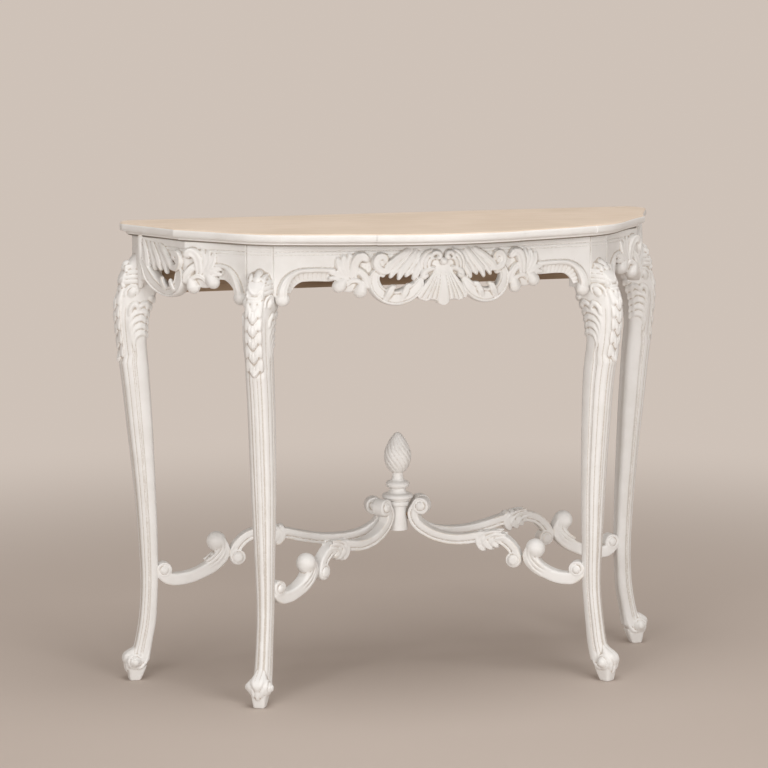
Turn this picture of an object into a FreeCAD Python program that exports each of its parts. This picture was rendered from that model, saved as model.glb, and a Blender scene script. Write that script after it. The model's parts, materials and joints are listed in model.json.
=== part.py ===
import FreeCAD, Part
import math
import os
from collections import namedtuple

# A carved console table that stands against a wall.
# Millimetres: X runs along the wall, Y points to the wall, Z is up from the floor.

Vector = FreeCAD.Vector
origin = Vector(0, 0, 0)
across = Vector(1, 0, 0)
toward_wall = Vector(0, 1, 0)
up = Vector(0, 0, 1)

# Whole table
table_height = 800.0
top_width = 974.0
top_depth = 390.0
top_thickness = 22.0
back_overhang = 46.0
joint_clearance = 0.2
cut_overrun = 40.0

# Moulded edge of the top: a rounded nose over a lower step that sits back
nose_thickness = 15.0
nose_radius = 6.0
step_setback = 12.0
# Nose outline: share of its thickness, share of its radius drawn in
nose_shares = ((0.0, 0.9), (0.2, 0.2), (0.5, 0.0), (0.8, 0.2), (1.0, 0.9))

# Corners of the top: share of half its width, share of its depth from the front
top_break_shares = (0.263, 0.049)
top_run_shares = (0.4415, 0.110)
top_corner_start_shares = (0.616, 0.190)
top_corner_shares = (0.679, 0.228)
top_corner_end_shares = (0.7125, 0.297)
top_sweep_shares = (0.797, 0.435)
top_kink_shares = (0.877, 0.549)
top_end_shares = (0.924, 0.741)
top_ear_shares = (1.0, 0.887)
top_ear_round_shares = (0.995, 0.956)
top_back_shares = (0.963, 1.0)

# Leg places, measured at the ankle: in from the top's ends, and how deep forward of the rear leg line
front_leg_inset = 191.5
front_leg_depth = 225.0
front_leg_angle = 58.0
rear_leg_inset = 42.5
rear_leg_depth = 0.0
rear_leg_angle = 0.0

# Leg sizes
knee_reach = 50.0
knee_half_width = 24.0
block_half_width = 23.5
block_drop = 92.0
front_block_front = 3.5
front_block_back = -43.5
front_block_shift = 5.0
rear_block_front = 17.5
rear_block_back = -25.0
rear_block_shift = 0.0

# Leg profile rows: share of the leg's height, back and front edges as shares of
# the knee's reach from the ankle, half width as a share of the knee's
front_profile_shares = (
    (0.045, 0.12, 0.82, 0.62),
    (0.077, -0.02, 0.62, 0.58),
    (0.129, -0.14, 0.45, 0.57),
    (0.200, -0.27, 0.31, 0.60),
    (0.321, -0.34, 0.34, 0.72),
    (0.450, -0.39, 0.42, 0.87),
    (0.578, -0.40, 0.55, 0.93),
    (0.700, -0.36, 0.75, 0.96),
    (0.775, -0.32, 1.00, 0.98),
    (0.825, -0.38, 1.10, 1.00),
    (0.868, -0.62, 1.04, 1.00),
    (0.905, -0.86, 0.80, 0.96),
    (0.945, -0.86, 0.26, 0.94),
)
rear_profile_shares = (
    (0.045, 0.04, 0.72, 0.62),
    (0.077, -0.04, 0.56, 0.58),
    (0.129, -0.20, 0.39, 0.57),
    (0.200, -0.29, 0.29, 0.60),
    (0.321, -0.32, 0.34, 0.72),
    (0.450, -0.28, 0.49, 0.87),
    (0.578, -0.21, 0.70, 0.93),
    (0.700, -0.11, 0.90, 0.96),
    (0.775, -0.03, 1.06, 0.98),
    (0.825, -0.10, 1.14, 1.00),
    (0.868, -0.34, 1.10, 1.00),
    (0.905, -0.48, 0.93, 0.96),
    (0.945, -0.48, 0.60, 0.94),
)
# Height shares between which the leg leans from its ankle to its block
lean_start_share = 0.2
lean_end_share = 0.77
# Leg section corners: share of the depth from the back, share of the half width
leg_back_shares = (0.0, 0.72)
leg_side_shares = (0.45, 1.0)
leg_front_shares = (0.86, 0.62)

# Feet: a roll across the shank on a tapered pad
front_foot_throw = 33.0
rear_foot_throw = 26.0
pad_height = 30.0
pad_bottom_half = 12.5
pad_top_half = 16.5
foot_roll_radius = 11.5
foot_roll_height = 37.0
foot_roll_length = 36.0

# Aprons: depths of their faces forward of the rear leg line
apron_thickness = 25.0
apron_height = 62.0
apron_corner_x = 128.0
apron_corner_depth = 258.0
apron_center_depth = 276.0
apron_kink_inset = 79.0
apron_kink_depth = 137.0
side_sweep = 5.0

# Carving on the front apron, placed along X from the middle and down from the leg heads;
# the cove balls are placed in from the front legs
front_scroll_x = 70.0
front_scroll_drop = 66.0
front_scroll_half_width = 52.0
front_scroll_half_height = 38.0
front_opening_half_width = 35.0
front_opening_half_height = 15.0
leaf_ball_radius = 12.0
front_inner_ball_x = 138.0
front_inner_ball_drop = 79.0
front_outer_ball_x = 172.0
front_outer_ball_drop = 70.0
cove_ball_inset = 29.5
cove_ball_drop = 90.0

# Carving on the side aprons, placed along each stretch from its front end and down from the leg heads
side_cove_ball_run = 12.0
side_cove_ball_drop = 89.0
side_outer_ball_run = 66.0
side_outer_ball_drop = 71.0
side_inner_ball_run = 97.0
side_inner_ball_drop = 74.0
side_scroll_run = 44.0
side_scroll_drop = 59.0
side_scroll_half_width = 42.0
side_scroll_half_height = 36.0
side_opening_half_width = 25.0
side_opening_half_height = 19.0
# Leaves that carry the balls, and the stem of the cove beside each front leg
leaf_drop = 62.0
leaf_half_width = 32.0
leaf_half_height = 17.0
cove_stem_drop = 70.0
cove_stem_half_width = 10.0
cove_stem_half_height = 26.0
carving_depth = 20.0
carving_rise = 5.0
ball_rise = 8.0

# Shell on the middle of the front apron
shell_top_drop = 16.0
shell_fan_drop = 30.0
shell_fan_radius = 68.0
shell_lobe_rise = 6.0
shell_half_angle = 37.0
shell_lobes = 5
shell_shoulder = 22.0
shell_rise = 15.0
shell_dome_radius = 120.0

# Back rail and joinery
rail_thickness = 22.0
rail_height = 101.0
tenon_length = 18.0
tenon_thickness = 9.0
tenon_top_drop = 12.0
tenon_height = 34.0

# Corner braces and screws
brace_thickness = 18.0
brace_height = 40.0
brace_half_span = 110.0
rear_brace_run = 60.0
screw_radius = 2.0
screw_head_radius = 4.0
screw_head_height = 3.0
brace_screw_bite = 20.0
brace_screw_spread = 13.0
rail_screw_grip = 16.0
rail_screw_bite = 12.0
rail_screw_inset = 12.0
top_screw_bite = 6.0
rear_top_screw_inset = 30.0
rear_top_screw_depth = 6.5

# Stretcher hub, its depth forward of the rear leg line, and finial
hub_depth = 34.5
hub_bottom_height = 246.0
hub_height = 43.0
hub_bottom_radius = 18.2
hub_top_radius = 15.5
spigot_radius = 6.0
spigot_length = 24.0
finial_height = 131.0
finial_collar_radius = 22.0
finial_ring_radius = 27.6
finial_bead_radius = 21.0
finial_waist_radius = 14.5
finial_neck_radius = 10.4
flame_radius = 23.1
# Height shares of the finial's mouldings
ring_low_share = 0.085
ring_share = 0.125
ring_high_share = 0.165
waist_share = 0.215
bead_low_share = 0.252
bead_share = 0.295
bead_high_share = 0.338
neck_low_share = 0.360
neck_high_share = 0.415
# Flame outline above the neck: share of the finial's height, share of its radius
flame_shares = ((0.435, 0.55), (0.55, 0.88), (0.69, 1.0), (0.84, 0.78), (0.95, 0.34))

# Scroll arms of the stretcher, ended in from the legs
front_arm_inset = 118.5
front_arm_depth = 154.0
rear_arm_inset = 157.5
rear_arm_depth = 8.7
scroll_low_height = 165.0
hub_roll_rise = 45.0
hub_roll_reach = 19.0
hub_roll_radius = 15.5
arm_thickness = 19.0
arm_width = 22.0
roll_extra_width = 3.0
arm_roll_radius = 14.0
# Arm centre lines: share of the run from the hub to the end roll, share of the rise from the
# lowest scrolls to the hub roll
front_arm_shares = (
    (0.0, 0.93), (0.043, 0.79), (0.168, 0.64), (0.332, 0.565), (0.479, 0.556), (0.615, 0.59),
    (0.717, 0.62), (0.825, 0.622), (0.92, 0.56), (0.994, 0.45), (1.028, 0.32),
)
rear_arm_shares = (
    (0.0, 0.93), (0.031, 0.79), (0.113, 0.65), (0.212, 0.579), (0.321, 0.556), (0.437, 0.563), (0.551, 0.603),
    (0.665, 0.659), (0.765, 0.695), (0.858, 0.688), (0.94, 0.63), (1.0, 0.51), (1.033, 0.38),
)
# End rolls: share of the same rise
front_arm_roll_share = 0.31
rear_arm_roll_share = 0.353
# Leaf that hangs under each arm: shares of the run and of the rise, then its size
front_leaf_shares = (0.74, 0.485)
rear_leaf_shares = (0.754, 0.587)
arm_leaf_half_run = 19.0
arm_leaf_half_height = 14.0
arm_leaf_width = 16.0

# C scrolls from the arms to the legs
foot_ball_radius = 16.0
foot_ball_run = 37.0
# Foot scroll balls: share of the arms' rise
front_foot_ball_share = 0.476
rear_foot_ball_share = 0.583
leg_roll_radius = 14.0
leg_roll_rise = 28.0
# How far the roll at the leg stops short of its axis: share of the knee's reach
leg_roll_gap_share = 0.25
foot_strap_thickness = 22.0
foot_strap_width = 24.0
# C scroll centre lines: share of the run between its rolls, share of the rise to its ball
foot_scroll_shares = ((-0.13, 0.74), (0.03, 0.40), (0.30, 0.15), (0.65, 0.0), (0.91, 0.02), (1.07, 0.2))

# Dowels
dowel_radius = 3.0
dowel_length = 24.0
front_hub_dowel_rise = 28.0
rear_hub_dowel_rise = 20.0
hub_dowel_start = 9.5
arm_dowel_start = 4.0
arm_dowel_lift = 4.0

# Worked out from the sizes above
leg_height = table_height - top_thickness
front_leg_x = top_width / 2 - front_leg_inset
rear_leg_x = top_width / 2 - rear_leg_inset
apron_kink_x = top_width / 2 - apron_kink_inset
cove_ball_x = front_leg_x - cove_ball_inset
front_arm_x = front_leg_x - front_arm_inset
rear_arm_x = rear_leg_x - rear_arm_inset
rear_line = top_depth / 2 - back_overhang
apron_hem_height = leg_height - apron_height
hub_top_height = hub_bottom_height + hub_height
arm_rise = hub_bottom_height + hub_roll_rise - scroll_low_height
leg_roll_height = scroll_low_height + leg_roll_rise
arm_seat = hub_top_radius + arm_thickness / 2
leg_roll_gap = leg_roll_gap_share * knee_reach

LegKind = namedtuple("LegKind", "x forward turn front back shift profile foot_throw")
front_kind = LegKind(front_leg_x, front_leg_depth, front_leg_angle, front_block_front,
                     front_block_back, front_block_shift, front_profile_shares, front_foot_throw)
rear_kind = LegKind(rear_leg_x, rear_leg_depth, rear_leg_angle, rear_block_front,
                    rear_block_back, rear_block_shift, rear_profile_shares, rear_foot_throw)

ArmKind = namedtuple("ArmKind", "leg x forward shares roll_share leaf_shares ball_share dowel_rise")
front_arm_kind = ArmKind(front_kind, front_arm_x, front_arm_depth, front_arm_shares,
                         front_arm_roll_share, front_leaf_shares, front_foot_ball_share,
                         front_hub_dowel_rise)
rear_arm_kind = ArmKind(rear_kind, rear_arm_x, rear_arm_depth, rear_arm_shares,
                        rear_arm_roll_share, rear_leaf_shares, rear_foot_ball_share,
                        rear_hub_dowel_rise)


# Helpers

def plan(x, forward, height=0.0):
    """A point given from the middle of the table and forward of the rear leg line."""
    return Vector(x, rear_line - forward, height)


def block(low, high):
    """A box between two opposite corners."""
    size = high - low
    return Part.makeBox(size.x, size.y, size.z, low)


def prism(points, height):
    """A flat polygon raised by a height."""
    return Part.Face(Part.makePolygon(points + points[:1])).extrude(up * height)


def joined(shapes):
    """Shapes fused into one solid."""
    return shapes[0].fuse(shapes[1:])


def carve(shape, tools):
    """A shape with each of the tools cut away in turn."""
    for tool in tools:
        shape = shape.cut(tool)
    return shape


def mirrored(shape):
    """The same piece on the left of the table."""
    return shape.mirror(origin, across)


def rod(radius, start, direction, length):
    """A round rod from a start point along a direction."""
    return Part.makeCylinder(radius, length, start, direction)


def arc(first, middle, last):
    """An arc edge through three points."""
    return Part.Arc(first, middle, last).toShape()


def curve(points):
    """A smooth edge through points."""
    spline = Part.BSplineCurve()
    spline.interpolate(points)
    return spline.toShape()


def turned(profile_edges, axis_point):
    """A solid turned on an upright axis from profile edges in the XZ plane."""
    solid = Part.Face(Part.Wire(profile_edges)).revolve(origin, up, 360)
    solid.translate(axis_point)
    return solid


# Top

def top_point(shares, side, height, inset):
    """A corner of the top's outline on one side, drawn in from the front and the ends."""
    share_x, share_y = shares
    x = side * share_x * (top_width / 2 - inset)
    y = top_depth / 2 - (1 - share_y) * (top_depth - inset)
    return Vector(x, y, height)


def top_outline(height, inset):
    """The top's outline: bow front, rounded leg corners, swept sides and flared ears."""
    stretches = (
        (top_break_shares, top_run_shares, top_corner_start_shares),
        (top_corner_start_shares, top_corner_shares, top_corner_end_shares),
        (top_corner_end_shares, top_sweep_shares, top_kink_shares),
        (top_kink_shares, top_end_shares, top_ear_shares),
        (top_ear_shares, top_ear_round_shares, top_back_shares),
    )
    right = []
    left = []
    for stretch in stretches:
        right.append(arc(*[top_point(shares, 1, height, inset) for shares in stretch]))
        left.append(arc(*[top_point(shares, -1, height, inset) for shares in stretch[::-1]]))
    front_break = [top_point(top_break_shares, side, height, inset) for side in (-1, 1)]
    back_ends = [top_point(top_back_shares, side, height, inset) for side in (1, -1)]
    front = arc(front_break[0], Vector(0, inset - top_depth / 2, height), front_break[1])
    back = Part.makeLine(back_ends[0], back_ends[1])
    return Part.Wire([front] + right + [back] + left[::-1])


def top_panel():
    """The board with its rounded nose and the step below it."""
    nose_height = table_height - nose_thickness
    rows = []
    for height_share, inset_share in nose_shares:
        rows.append(top_outline(nose_height + height_share * nose_thickness, inset_share * nose_radius))
    nose = Part.makeLoft(rows, True, True)
    step = Part.Face(top_outline(leg_height, step_setback)).extrude(up * (top_thickness - nose_thickness))
    return joined([nose, step])


# Legs

def stand(shape, kind):
    """Moves a shape from a leg's own frame, outward along X, to its place on the right."""
    placed = shape.copy()
    placed.rotate(origin, up, -kind.turn)
    placed.translate(plan(kind.x, kind.forward))
    return placed


def leg_spot(kind, out, side, height=0.0):
    """A point of a leg's own frame in the table's frame."""
    turn = FreeCAD.Rotation(up, -kind.turn)
    return turn.multVec(Vector(out, side, height)) + plan(kind.x, kind.forward)


def leg_outward(kind):
    """The direction in which a leg's knee points."""
    return FreeCAD.Rotation(up, -kind.turn).multVec(across)


def leg_lean(kind, height_share):
    """How far the shank stands to the side of the ankle at a height."""
    rise = (height_share - lean_start_share) / (lean_end_share - lean_start_share)
    return kind.shift * min(max(rise, 0), 1)


def leg_section(kind, row):
    """One section of the shank: flat back, full sides and an arris in front."""
    height_share, back_share, front_share, half_share = row
    back = back_share * knee_reach
    depth = (front_share - back_share) * knee_reach
    half = half_share * knee_half_width
    middle = leg_lean(kind, height_share)
    height = height_share * leg_height
    corners = (leg_back_shares, leg_side_shares, leg_front_shares)
    right = [Vector(back + along * depth, middle + wide * half, height) for along, wide in corners]
    left = [Vector(back + along * depth, middle - wide * half, height) for along, wide in corners]
    arris = Vector(back + depth, middle, height)
    points = right + [arris] + left[::-1]
    return Part.makePolygon(points + points[:1])


def leg_foot(kind):
    """The tapered pad and the roll that the shank ends in."""
    def square(half, height):
        corners = ((-1, -1), (1, -1), (1, 1), (-1, 1))
        points = [Vector(kind.foot_throw + u * half, v * half, height) for u, v in corners]
        return Part.makePolygon(points + points[:1])
    pad = Part.makeLoft([square(pad_bottom_half, 0), square(pad_top_half, pad_height)], True, True)
    roll_start = Vector(kind.foot_throw, -foot_roll_length / 2, foot_roll_height)
    return joined([pad, rod(foot_roll_radius, roll_start, toward_wall, foot_roll_length)])


def leg_block(kind):
    """The plain block at the head of a leg."""
    low = Vector(kind.back, kind.shift - block_half_width, leg_height - block_drop)
    high = Vector(kind.front, kind.shift + block_half_width, leg_height)
    return block(low, high)


def leg_blank(kind):
    """A leg before its mortises and holes are cut, in place on the right."""
    shank = Part.makeLoft([leg_section(kind, row) for row in kind.profile], True, False)
    return stand(joined([shank, leg_foot(kind), leg_block(kind)]), kind)


def side_tenon(kind, side, room):
    """A tenon into the side of a leg block: side is 1 or -1 in the leg's frame."""
    face = kind.shift + side * block_half_width
    middle = kind.front - apron_thickness / 2
    top = leg_height - tenon_top_drop
    reach = face - side * (tenon_length + room)
    low = Vector(middle - tenon_thickness / 2 - room, min(face, reach), top - tenon_height - room)
    high = Vector(middle + tenon_thickness / 2 + room, max(face, reach), top + room)
    return stand(block(low, high), kind)


def rail_tenon(room):
    """The back rail's tenon into the inner face of the rear leg block."""
    middle = rear_block_shift + block_half_width - rail_thickness / 2
    top = leg_height - tenon_top_drop
    low = Vector(rear_block_back, middle - tenon_thickness / 2 - room, top - tenon_height - room)
    high = Vector(rear_block_back + tenon_length + room, middle + tenon_thickness / 2 + room, top + room)
    return stand(block(low, high), rear_kind)


def beyond(kind, side):
    """Everything past one side face of a leg block, for cutting an apron's end."""
    face = kind.shift + side * block_half_width
    reach = face - side * (apron_kink_x + cut_overrun)
    low = Vector(-apron_kink_x, min(face, reach), 0)
    high = Vector(apron_kink_x, max(face, reach), table_height)
    return stand(block(low, high), kind)


# Aprons

def front_board():
    """The bowed front board, running on past its joints."""
    joint = leg_spot(front_kind, front_block_front, front_block_shift - block_half_width)
    bend = plan(apron_corner_x, apron_corner_depth)
    end = joint + (joint - bend).normalize() * cut_overrun
    far_end = mirrored_point(end)
    middle = plan(0, apron_center_depth)
    inward = toward_wall * apron_thickness
    outer = [Part.makeLine(far_end, mirrored_point(bend))]
    outer.append(arc(mirrored_point(bend), middle, bend))
    outer.append(Part.makeLine(bend, end))
    inner = [edge.translated(inward) for edge in outer]
    caps = [Part.makeLine(end, end + inward), Part.makeLine(far_end, far_end + inward)]
    wire = Part.Wire(Part.__sortEdges__(outer + inner + caps))
    board = Part.Face(wire).extrude(up * apron_height)
    board.translate(up * apron_hem_height)
    return board


def mirrored_point(point):
    """A point on the left of the table."""
    return Vector(-point.x, point.y, point.z)


def front_face_point(x, drop):
    """A point on the front board's face, along X and down from the leg heads."""
    joint = leg_spot(front_kind, front_block_front, front_block_shift - block_half_width)
    height = leg_height - drop
    if x > apron_corner_x:
        share = (x - apron_corner_x) / (joint.x - apron_corner_x)
        forward = apron_corner_depth + share * (rear_line - joint.y - apron_corner_depth)
    else:
        share = x / apron_corner_x
        forward = apron_center_depth + share * share * (apron_corner_depth - apron_center_depth)
    return plan(x, forward, height)


def oval(center, along, half_width, half_height):
    """An upright oval face in the plane of a direction along a board."""
    normal = along.cross(up)
    ellipse = Part.Ellipse(origin, max(half_width, half_height), min(half_width, half_height))
    edge = ellipse.toShape()
    if half_height > half_width:
        edge.rotate(origin, up, 90)
    face = Part.Face(Part.Wire(edge))
    face.Placement = FreeCAD.Placement(center, FreeCAD.Rotation(along, up, normal, "ZXY"))
    return face


def carved_oval(center, along, half_width, half_height, rise, depth):
    """An oval boss through a board, standing out by a rise in front."""
    outward = along.cross(up)
    face = oval(center + outward * rise, along, half_width, half_height)
    return face.extrude(outward * -(rise + depth))


def carving(center, along, wide, high, opening_wide, opening_high):
    """The boss of a C scroll and the opening cut through it."""
    boss = carved_oval(center, along, wide, high, carving_rise, carving_depth)
    opening = carved_oval(center, along, opening_wide, opening_high, cut_overrun, 2 * cut_overrun)
    return boss, opening


def ball(center, along):
    """The round end of a carved leaf."""
    return carved_oval(center, along, leaf_ball_radius, leaf_ball_radius, ball_rise, carving_depth)


def front_apron(leg):
    """The front board with its scrolls, leaf ends, openings and tenons."""
    solids = [front_board()]
    openings = []
    balls = (
        (front_inner_ball_x, front_inner_ball_drop),
        (front_outer_ball_x, front_outer_ball_drop),
        (cove_ball_x, cove_ball_drop),
    )
    bend = plan(apron_corner_x, apron_corner_depth)
    joint = leg_spot(front_kind, front_block_front, front_block_shift - block_half_width)
    run = (joint - bend).normalize()
    scroll_spot = front_face_point(front_scroll_x, front_scroll_drop)
    boss, opening = carving(scroll_spot, across, front_scroll_half_width, front_scroll_half_height,
                            front_opening_half_width, front_opening_half_height)
    solids += [boss, mirrored(boss)]
    openings += [opening, mirrored(opening)]
    for x, drop in balls:
        shape = ball(front_face_point(x, drop), run)
        solids += [shape, mirrored(shape)]
    leaf_x = (front_inner_ball_x + front_outer_ball_x) / 2
    leaf = carved_oval(front_face_point(leaf_x, leaf_drop), run,
                       leaf_half_width, leaf_half_height, carving_rise, carving_depth)
    stem = carved_oval(front_face_point(cove_ball_x, cove_stem_drop), run,
                       cove_stem_half_width, cove_stem_half_height, carving_rise, carving_depth)
    solids += [leaf, mirrored(leaf), stem, mirrored(stem)]
    apron = joined(solids)
    ends = beyond(front_kind, -1)
    apron = carve(apron, openings + [ends, mirrored(ends), leg, mirrored(leg)])
    tenon = side_tenon(front_kind, -1, 0)
    return joined([apron, tenon, mirrored(tenon)])


def side_path():
    """Front end, kink and rear end of the right side board's outer face."""
    start = leg_spot(front_kind, front_block_front, front_block_shift + block_half_width)
    kink = plan(apron_kink_x, apron_kink_depth)
    end = leg_spot(rear_kind, rear_block_front, rear_block_shift - block_half_width)
    return start, kink, end


def side_board():
    """The swept right side board, running on past its joints."""
    start, kink, end = side_path()
    front_run = (kink - start).normalize()
    rear_run = (end - kink).normalize()
    front_in = up.cross(front_run)
    rear_in = up.cross(rear_run)
    kink_in = (front_in + rear_in).normalize()

    def face_edges(depth):
        far_start = start - front_run * cut_overrun + front_in * depth
        near_start = start + front_in * depth
        bend = kink + kink_in * depth
        near_end = end + rear_in * depth
        far_end = end + rear_run * cut_overrun + rear_in * depth
        front_middle = (near_start + bend) / 2 + front_in * side_sweep
        rear_middle = (bend + near_end) / 2 + rear_in * side_sweep
        edges = [Part.makeLine(far_start, near_start), arc(near_start, front_middle, bend)]
        edges += [arc(bend, rear_middle, near_end), Part.makeLine(near_end, far_end)]
        return edges, far_start, far_end

    outer, outer_start, outer_end = face_edges(0)
    inner, inner_start, inner_end = face_edges(apron_thickness)
    caps = [Part.makeLine(outer_start, inner_start), Part.makeLine(outer_end, inner_end)]
    wire = Part.Wire(Part.__sortEdges__(outer + inner + caps))
    board = Part.Face(wire).extrude(up * apron_height)
    board.translate(up * apron_hem_height)
    return board


def side_apron(front_leg, rear_leg):
    """The right side board with its scroll, leaf ends, opening and tenons."""
    start, kink, end = side_path()
    front_run = (kink - start).normalize()
    rear_run = (end - kink).normalize()
    head = up * leg_height
    scroll_spot = kink + head + rear_run * side_scroll_run - up * side_scroll_drop
    boss, opening = carving(scroll_spot, rear_run, side_scroll_half_width, side_scroll_half_height,
                            side_opening_half_width, side_opening_half_height)
    balls = (
        (side_cove_ball_run, side_cove_ball_drop),
        (side_outer_ball_run, side_outer_ball_drop),
        (side_inner_ball_run, side_inner_ball_drop),
    )
    solids = [side_board(), boss]
    solids += [ball(start + head + front_run * run - up * drop, front_run) for run, drop in balls]
    leaf_run = (side_outer_ball_run + side_inner_ball_run) / 2
    solids.append(carved_oval(start + head + front_run * leaf_run - up * leaf_drop, front_run,
                              leaf_half_width, leaf_half_height, carving_rise, carving_depth))
    solids.append(carved_oval(start + head + front_run * side_cove_ball_run - up * cove_stem_drop, front_run,
                              cove_stem_half_width, cove_stem_half_height, carving_rise, carving_depth))
    apron = joined(solids)
    ends = [beyond(front_kind, 1), beyond(rear_kind, -1)]
    apron = carve(apron, [opening] + ends + [front_leg, rear_leg])
    tenons = [side_tenon(front_kind, 1, 0), side_tenon(rear_kind, -1, 0)]
    return joined([apron] + tenons)


def front_shell(apron):
    """The fan shell glued on the front apron: ribs end in a scalloped edge."""
    face_y = rear_line - apron_center_depth
    start_y = face_y + apron_thickness
    fan_height = leg_height - shell_fan_drop

    def fan_point(angle_share, radius):
        angle = math.radians(shell_half_angle) * angle_share
        return Vector(radius * math.sin(angle), start_y, fan_height - radius * math.cos(angle))

    edges = []
    for lobe in range(shell_lobes):
        first = 2 * lobe / shell_lobes - 1
        last = 2 * (lobe + 1) / shell_lobes - 1
        peak = fan_point((first + last) / 2, shell_fan_radius + shell_lobe_rise)
        edges.append(arc(fan_point(first, shell_fan_radius), peak, fan_point(last, shell_fan_radius)))
    left = fan_point(-1, shell_fan_radius)
    right = fan_point(1, shell_fan_radius)
    left_shoulder = Vector(-shell_shoulder, start_y, fan_height)
    right_shoulder = Vector(shell_shoulder, start_y, fan_height)
    crown = Vector(0, start_y, leg_height - shell_top_drop)
    edges.append(Part.makeLine(left, left_shoulder))
    edges.append(arc(left_shoulder, crown, right_shoulder))
    edges.append(Part.makeLine(right_shoulder, right))
    fan = Part.Face(Part.Wire(Part.__sortEdges__(edges)))
    raised = fan.extrude(toward_wall * (face_y - shell_rise - start_y))
    middle_height = fan_height - shell_fan_radius / 2
    dome_center = Vector(0, face_y - shell_rise + shell_dome_radius, middle_height)
    dome = Part.makeSphere(shell_dome_radius, dome_center)
    shell = raised.common(dome).cut([front_board(), apron])
    front_point = Vector(0, face_y - shell_rise, middle_height)
    return min(shell.Solids, key=lambda solid: solid.CenterOfMass.distanceToPoint(front_point))


# Back rail

def back_rail():
    """The plain rail between the rear leg blocks, with its tenons."""
    back = rear_block_shift + block_half_width
    inner = leg_spot(rear_kind, rear_block_back, back - rail_thickness, leg_height - rail_height)
    outer = leg_spot(rear_kind, rear_block_back, back, leg_height)
    rail = block(mirrored_point(inner), outer)
    tenon = rail_tenon(0)
    return joined([rail, tenon, mirrored(tenon)])


# Braces and screws

def screw(head_point, direction, length):
    """A wood screw from the outer face of its head."""
    head = rod(screw_head_radius, head_point, direction, screw_head_height)
    shank = rod(screw_radius, head_point, direction, length)
    return joined([head, shank])


def screw_hole(head_point, direction, length):
    """Room for a screw, open behind its head."""
    way_in = head_point - direction * cut_overrun
    head = rod(screw_head_radius + joint_clearance, way_in, direction, cut_overrun + screw_head_height)
    shank = rod(screw_radius + joint_clearance, head_point, direction, length + joint_clearance)
    return joined([head, shank])


def front_brace_screws():
    """Head points and directions of the two screws from the front brace into the leg."""
    height = leg_height - brace_height / 2
    back = front_block_back - brace_thickness
    length = brace_thickness + brace_screw_bite
    sides = (front_block_shift - brace_screw_spread, front_block_shift + brace_screw_spread)
    return [(leg_spot(front_kind, back, side, height), leg_outward(front_kind), length) for side in sides]


def rear_brace_screws():
    """Head point and direction of the screw from the rear brace into the back rail."""
    rail_front = rear_block_shift + block_half_width - rail_thickness
    height = leg_height - brace_height / 2
    spot = leg_spot(rear_kind, rear_block_back - rail_screw_inset, rail_front - rail_screw_grip, height)
    return [(spot, toward_wall, rail_screw_grip + rail_screw_bite)]


def top_screw_places():
    """Head points and directions of the two screws on the right that hold the top."""
    height = leg_height - brace_height
    rail_front = rear_block_shift + block_half_width - rail_thickness
    front = leg_spot(front_kind, front_block_back - brace_thickness / 2, front_block_shift, height)
    rear = leg_spot(rear_kind, rear_block_back - rear_top_screw_inset,
                    rail_front - rear_top_screw_depth, height)
    length = brace_height + top_screw_bite
    return [(front, up, length), (rear, up, length)]


def front_brace():
    """The board behind the front right leg block, fitted between the aprons."""
    low = Vector(front_block_back - brace_thickness, front_block_shift - brace_half_span,
                 leg_height - brace_height)
    high = Vector(front_block_back, front_block_shift + brace_half_span, leg_height)
    brace = stand(block(low, high), front_kind).cut([front_board(), side_board()])
    seat = leg_spot(front_kind, front_block_back, front_block_shift, leg_height)
    brace = min(brace.Solids, key=lambda solid: solid.CenterOfMass.distanceToPoint(seat))
    return brace.cut([screw_hole(*place) for place in front_brace_screws() + top_screw_places()[:1]])


def rear_brace():
    """The corner block between the rear right leg block and the back rail."""
    rail_front = rear_block_shift + block_half_width - rail_thickness
    block_face = rear_block_shift - block_half_width
    height = leg_height - brace_height
    corner = leg_spot(rear_kind, rear_block_back, rail_front, height)
    along_rail = leg_spot(rear_kind, rear_block_back - rear_brace_run, rail_front, height)
    along_block = leg_spot(rear_kind, rear_block_back, block_face, height)
    brace = prism([corner, along_rail, along_block], brace_height)
    return brace.cut([screw_hole(*place) for place in rear_brace_screws() + top_screw_places()[1:]])


# Stretcher

def in_plane(start, along, run, height):
    """A point at a run and a height in an upright plane."""
    return start + along * run + up * height


def strap(start, along, line, thickness, width):
    """A flat bent strap: a centre line of run and height points, thickened and widened."""
    sideways = up.cross(along)
    points = [in_plane(start, along, run, height) for run, height in line]
    spline = Part.BSplineCurve()
    spline.interpolate(points)
    upper = []
    lower = []
    for point in points:
        tangent = spline.tangent(spline.parameter(point))[0]
        normal = tangent.cross(sideways).normalize()
        upper.append(point + normal * (thickness / 2) - sideways * (width / 2))
        lower.append(point - normal * (thickness / 2) - sideways * (width / 2))
    edges = [curve(upper), Part.makeLine(upper[-1], lower[-1])]
    edges += [curve(lower), Part.makeLine(lower[0], upper[0])]
    face = Part.Face(Part.Wire(Part.__sortEdges__(edges)))
    return face.extrude(sideways * width)


def roll(start, along, run, height, radius, width):
    """The rolled end of a strap."""
    sideways = up.cross(along)
    center = in_plane(start, along, run, height)
    return rod(radius, center - sideways * (width / 2), sideways, width)


def arm_plane(kind):
    """Start point, direction and run of an arm, from the hub's axis to its end roll."""
    start = plan(0, hub_depth)
    end = plan(kind.x, kind.forward)
    return start, (end - start).normalize(), start.distanceToPoint(end)


def mitre_side(side):
    """Everything on one side of the upright plane midway between the two right arms."""
    front_along = arm_plane(front_arm_kind)[1]
    rear_along = arm_plane(rear_arm_kind)[1]
    middle = (front_along + rear_along).normalize()
    outward = up.cross(middle) * side
    start = plan(0, hub_depth)
    reach = middle * rear_arm_x
    points = [start - reach, start + reach, start + reach + outward * rear_arm_x,
              start - reach + outward * rear_arm_x]
    return prism(points, table_height)


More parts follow.
